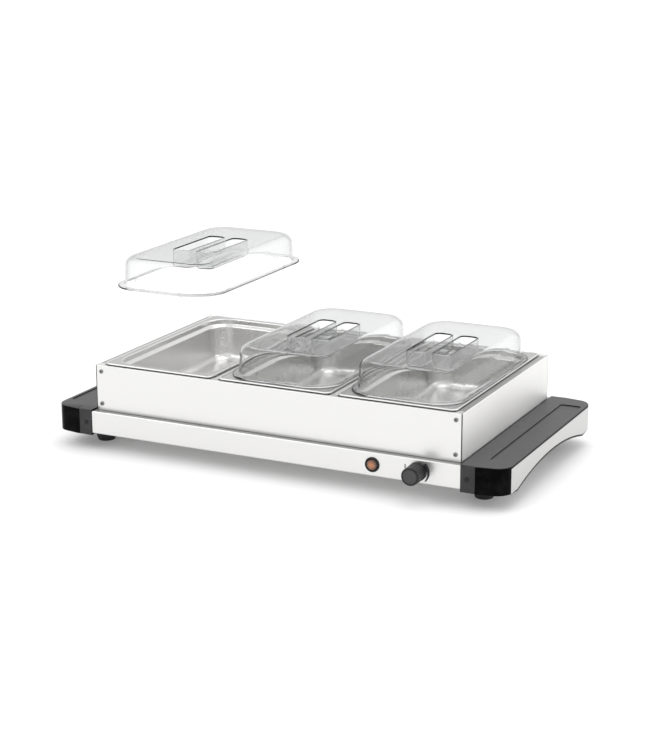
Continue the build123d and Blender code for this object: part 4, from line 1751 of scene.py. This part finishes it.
# ---------------------------------------------------------------- sheet metal
@dataclass
class Housing:
    """The folded sheets of the lift-off frame and of the base, with rounded folds."""

    finishes: "Finishes"
    fold: float = 0.9 * MM
    hem_height: float = 1.2 * MM
    hem_drop: float = 0.9 * MM
    painted_shade_steel_width: float = 1.5 * MM
    land_margin: float = 0.4 * MM
    shortest_fold: float = 20.0 * MM

    def folded(self, node: str, name: str, body: str, finish: bpy.types.Material) -> None:
        """Round the folds of one sheet, and paint shade into the ends of the front and back
        sheets, under the pans' rims and on the side sheets' top flanges.

        Args:
            node: The CAD node that gives its shape.
            name: The new piece's name.
            body: The body that it moves with.
            finish: Its material.
        """
        low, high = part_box(node)
        piece = Workpiece.casting(name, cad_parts[node])
        deep = high.y - low.y < high.x - low.x
        near_end, far_end = (low.y, high.y) if deep else (low.x, high.x)
        outside = far_end if far_end > 0 else near_end

        def on_fold(p: Vector, n: Vector) -> bool:
            """Whether an edge lies along the sheet's upper fold.

            Args:
                p: The edge's middle.
                n: The edge's direction.

            Returns:
                Whether it does.
            """
            across = p.y if deep else p.x
            along = abs(n.x) if deep else abs(n.y)
            return near(across, outside) and near(p.z, high.z) and along > self.shortest_fold

        piece.pick(Kind.EDGE, on_fold).bevel(self.fold, 4)
        if deep:
            hem = low.z + self.hem_height
            piece.pick(Kind.VERTEX, lambda p, n: p.z < hem).move((0, 0, -self.hem_drop))
        # These cuts bound the painted shade under the rims and at the corners.
        row_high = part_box("pan_right")[1]
        land = (row_high.x - self.land_margin, row_high.y - self.land_margin)
        gap = (
            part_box("pan_middle")[1].x - self.land_margin,
            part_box("pan_right")[0].x + self.land_margin,
        )
        for side in BOTH:
            for x in (land[0], *gap):
                piece.cut((side * x, 0, 0), (1, 0, 0))
            piece.cut((0, side * land[1], 0), (0, 1, 0))
            if deep:
                piece.cut((side * (high.x - self.painted_shade_steel_width), 0, 0), (1, 0, 0))
        piece.smooth(30.0).paint(finish, self.finishes.seam, self.finishes.flange)
        # Painted shade: the side sheets' up-facing top flange gets the darker copy of their steel.
        if not deep:
            piece.paint_where(2, lambda p, n: n.z > UPRIGHT and near(p.z, high.z))
        # Painted shade: the top faces under the pans' rims, seen through the gap below them, get
        # the dark steel.
        piece.paint_where(
            1, lambda p, n: n.z > UPRIGHT and near(p.z, high.z)
            and abs(p.x) < land[0] and abs(p.y) < land[1] and not gap[0] < abs(p.x) < gap[1],
        )
        # Painted shade: a dark strip at each end of the front and back sheets stands in for the
        # shade in the corner's groove.
        if deep:
            piece.paint_where(1, lambda p, n: abs(p.x) > high.x - self.painted_shade_steel_width)
        piece.mount(body, "brushed_stainless", node)

    def build(self) -> None:
        """Fold the frame's four sheets, and smooth the base's cover."""
        for side in ("front", "back"):
            self.folded(f"frame_{side}", f"{side}_sheet", "frame", self.finishes.panel)
        for side in ("left", "right"):
            self.folded(f"frame_{side}", f"{side}_sheet", "frame", self.finishes.side_panel)
        cover = Workpiece.casting("warming_plate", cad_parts["base_cover"])
        cover.smooth(30.0).paint(self.finishes.plate)
        cover.mount("base", "brushed_stainless", "base_cover")


def dress_nodes(finishes: Finishes) -> None:
    """Give the CAD nodes that stay their materials.

    Args:
        finishes: The object's materials.
    """
    worn = {
        finishes.zinc: ("bottom_plate", "end_plate_left", "end_plate_right", "clamp_plate",
                        "clamp_spacers"),
        finishes.side_panel: ("crossbar_left", "crossbar_right"),
        finishes.foil: ("heating_mat",),
        finishes.fibre: ("insulation_pad",),
        finishes.screw: ("bottom_screws", "foot_screws"),
        finishes.pad: ("frame_pads",),
        finishes.pale: ("thermal_cutout", "thermostat_case", "lamp_body", "terminal_block"),
        finishes.brass: ("thermostat_bushing", "bushing_nut", "thermostat_shaft"),
        finishes.satin_black: ("lamp_clip", "cable_gland", "gland_nut"),
    }
    for material, nodes in worn.items():
        for node in nodes:
            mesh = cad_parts[node].data
            mesh.materials.clear()
            mesh.materials.append(material)


# ---------------------------------------------------------------- studio
@dataclass
class Studio:
    """A pale floor, soft light and the camera."""

    azimuth: float = math.radians(26.23)
    elevation: float = math.radians(15.59)
    roll: float = math.radians(-0.15)
    distance: float = 2.3456
    target: tuple[float, float, float] = (0.1458, -0.2930, 0.1949)
    lens: float = 88.3
    floor_size: float = 60.0
    floor_glow: float = 0.12
    lamps: tuple[tuple[object, ...], ...] = (
        ("key", (-1.6, -1.8, 2.2), (0, 0, 0.1), (1.6, 1.2), 14.0),
        ("top", (0.3, 0.4, 2.4), (0, 0, 0.1), (1.8, 1.4), 12.0),
        ("side", (2.4, 0.6, 1.0), (0.3, 0, 0.1), (1.6, 1.4), 12.0),
    )

    def camera(self) -> None:
        """Stand the camera in front of the right end, a little above the lids."""
        data = bpy.data.cameras.new("camera")
        data.lens, data.sensor_width = self.lens, 36.0
        data.clip_start, data.clip_end = 0.05, 100.0
        camera = bpy.data.objects.new("camera", data)
        bpy.context.scene.collection.objects.link(camera)
        level = math.cos(self.elevation)
        across, away = math.sin(self.azimuth) * level, -math.cos(self.azimuth) * level
        back = Vector((across, away, math.sin(self.elevation)))
        camera.location = Vector(self.target) + back * self.distance
        facing = (-back).to_track_quat("-Z", "Y").to_matrix()
        camera.rotation_euler = (facing @ Matrix.Rotation(self.roll, 3, "Z")).to_euler()
        bpy.context.scene.camera = camera

    def floor(self) -> None:
        """A wide pale floor."""
        piece = Workpiece(bpy.ops.mesh.primitive_plane_add, "studio_floor", size=self.floor_size)
        shader = Shader(
            "pale_floor", Roughness=0.75, Emission_Color=grey(1.0),
            Emission_Strength=self.floor_glow,
        )
        cloud = shader.noise((2.0, 2.0, 2.0))
        shader.set(Base_Color=shader.mix(cloud, grey(0.86), grey(0.88)))
        piece.paint(shader.material)

    def lamp(
        self, name: str, at: Sequence[float], aim: Sequence[float], size: tuple[float, float],
        power: float,
    ) -> None:
        """A soft rectangular light.

        Args:
            name: Its name.
            at: Where it stands.
            aim: The point that it faces.
            size: Its width and height.
            power: Its power in watts.
        """
        data = bpy.data.lights.new(name, "AREA")
        data.shape, data.size, data.size_y, data.energy = "RECTANGLE", *size, power
        light = bpy.data.objects.new(name, data)
        bpy.context.scene.collection.objects.link(light)
        light.location = at
        light.rotation_euler = (Vector(aim) - Vector(at)).to_track_quat("-Z", "Y").to_euler()

    def build(self) -> None:
        """Set up the camera, the floor and the lights."""
        self.camera()
        self.floor()
        world = bpy.data.worlds.new("studio")
        bpy.context.scene.world = world
        world.use_nodes = True
        sky = world.node_tree.nodes["Background"]
        sky.inputs["Color"].default_value = grey(1.0)
        sky.inputs["Strength"].default_value = 1.0
        bpy.context.scene.view_settings.view_transform = "Standard"
        for lamp in self.lamps:
            self.lamp(*lamp)


def main() -> None:
    """Build the buffet server's looks, piece by piece."""
    logging.basicConfig(level=logging.INFO, format="%(name)s: %(message)s")
    finishes = Finishes(tuple(middle("lamp_lens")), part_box("frame_back")[1].y)
    Studio().build()
    Housing(finishes).build()
    for place in PLACES:
        FoodPan(place, finishes).build()
        Lid(place, finishes.clear).build()
    Handle(finishes).build()
    Foot(finishes.rubber).build()
    Knob(finishes).build()
    Lamp(finishes).build()
    Screws(finishes).build()
    dress_nodes(finishes)
    put_down()


if __name__ == "__main__":
    main()
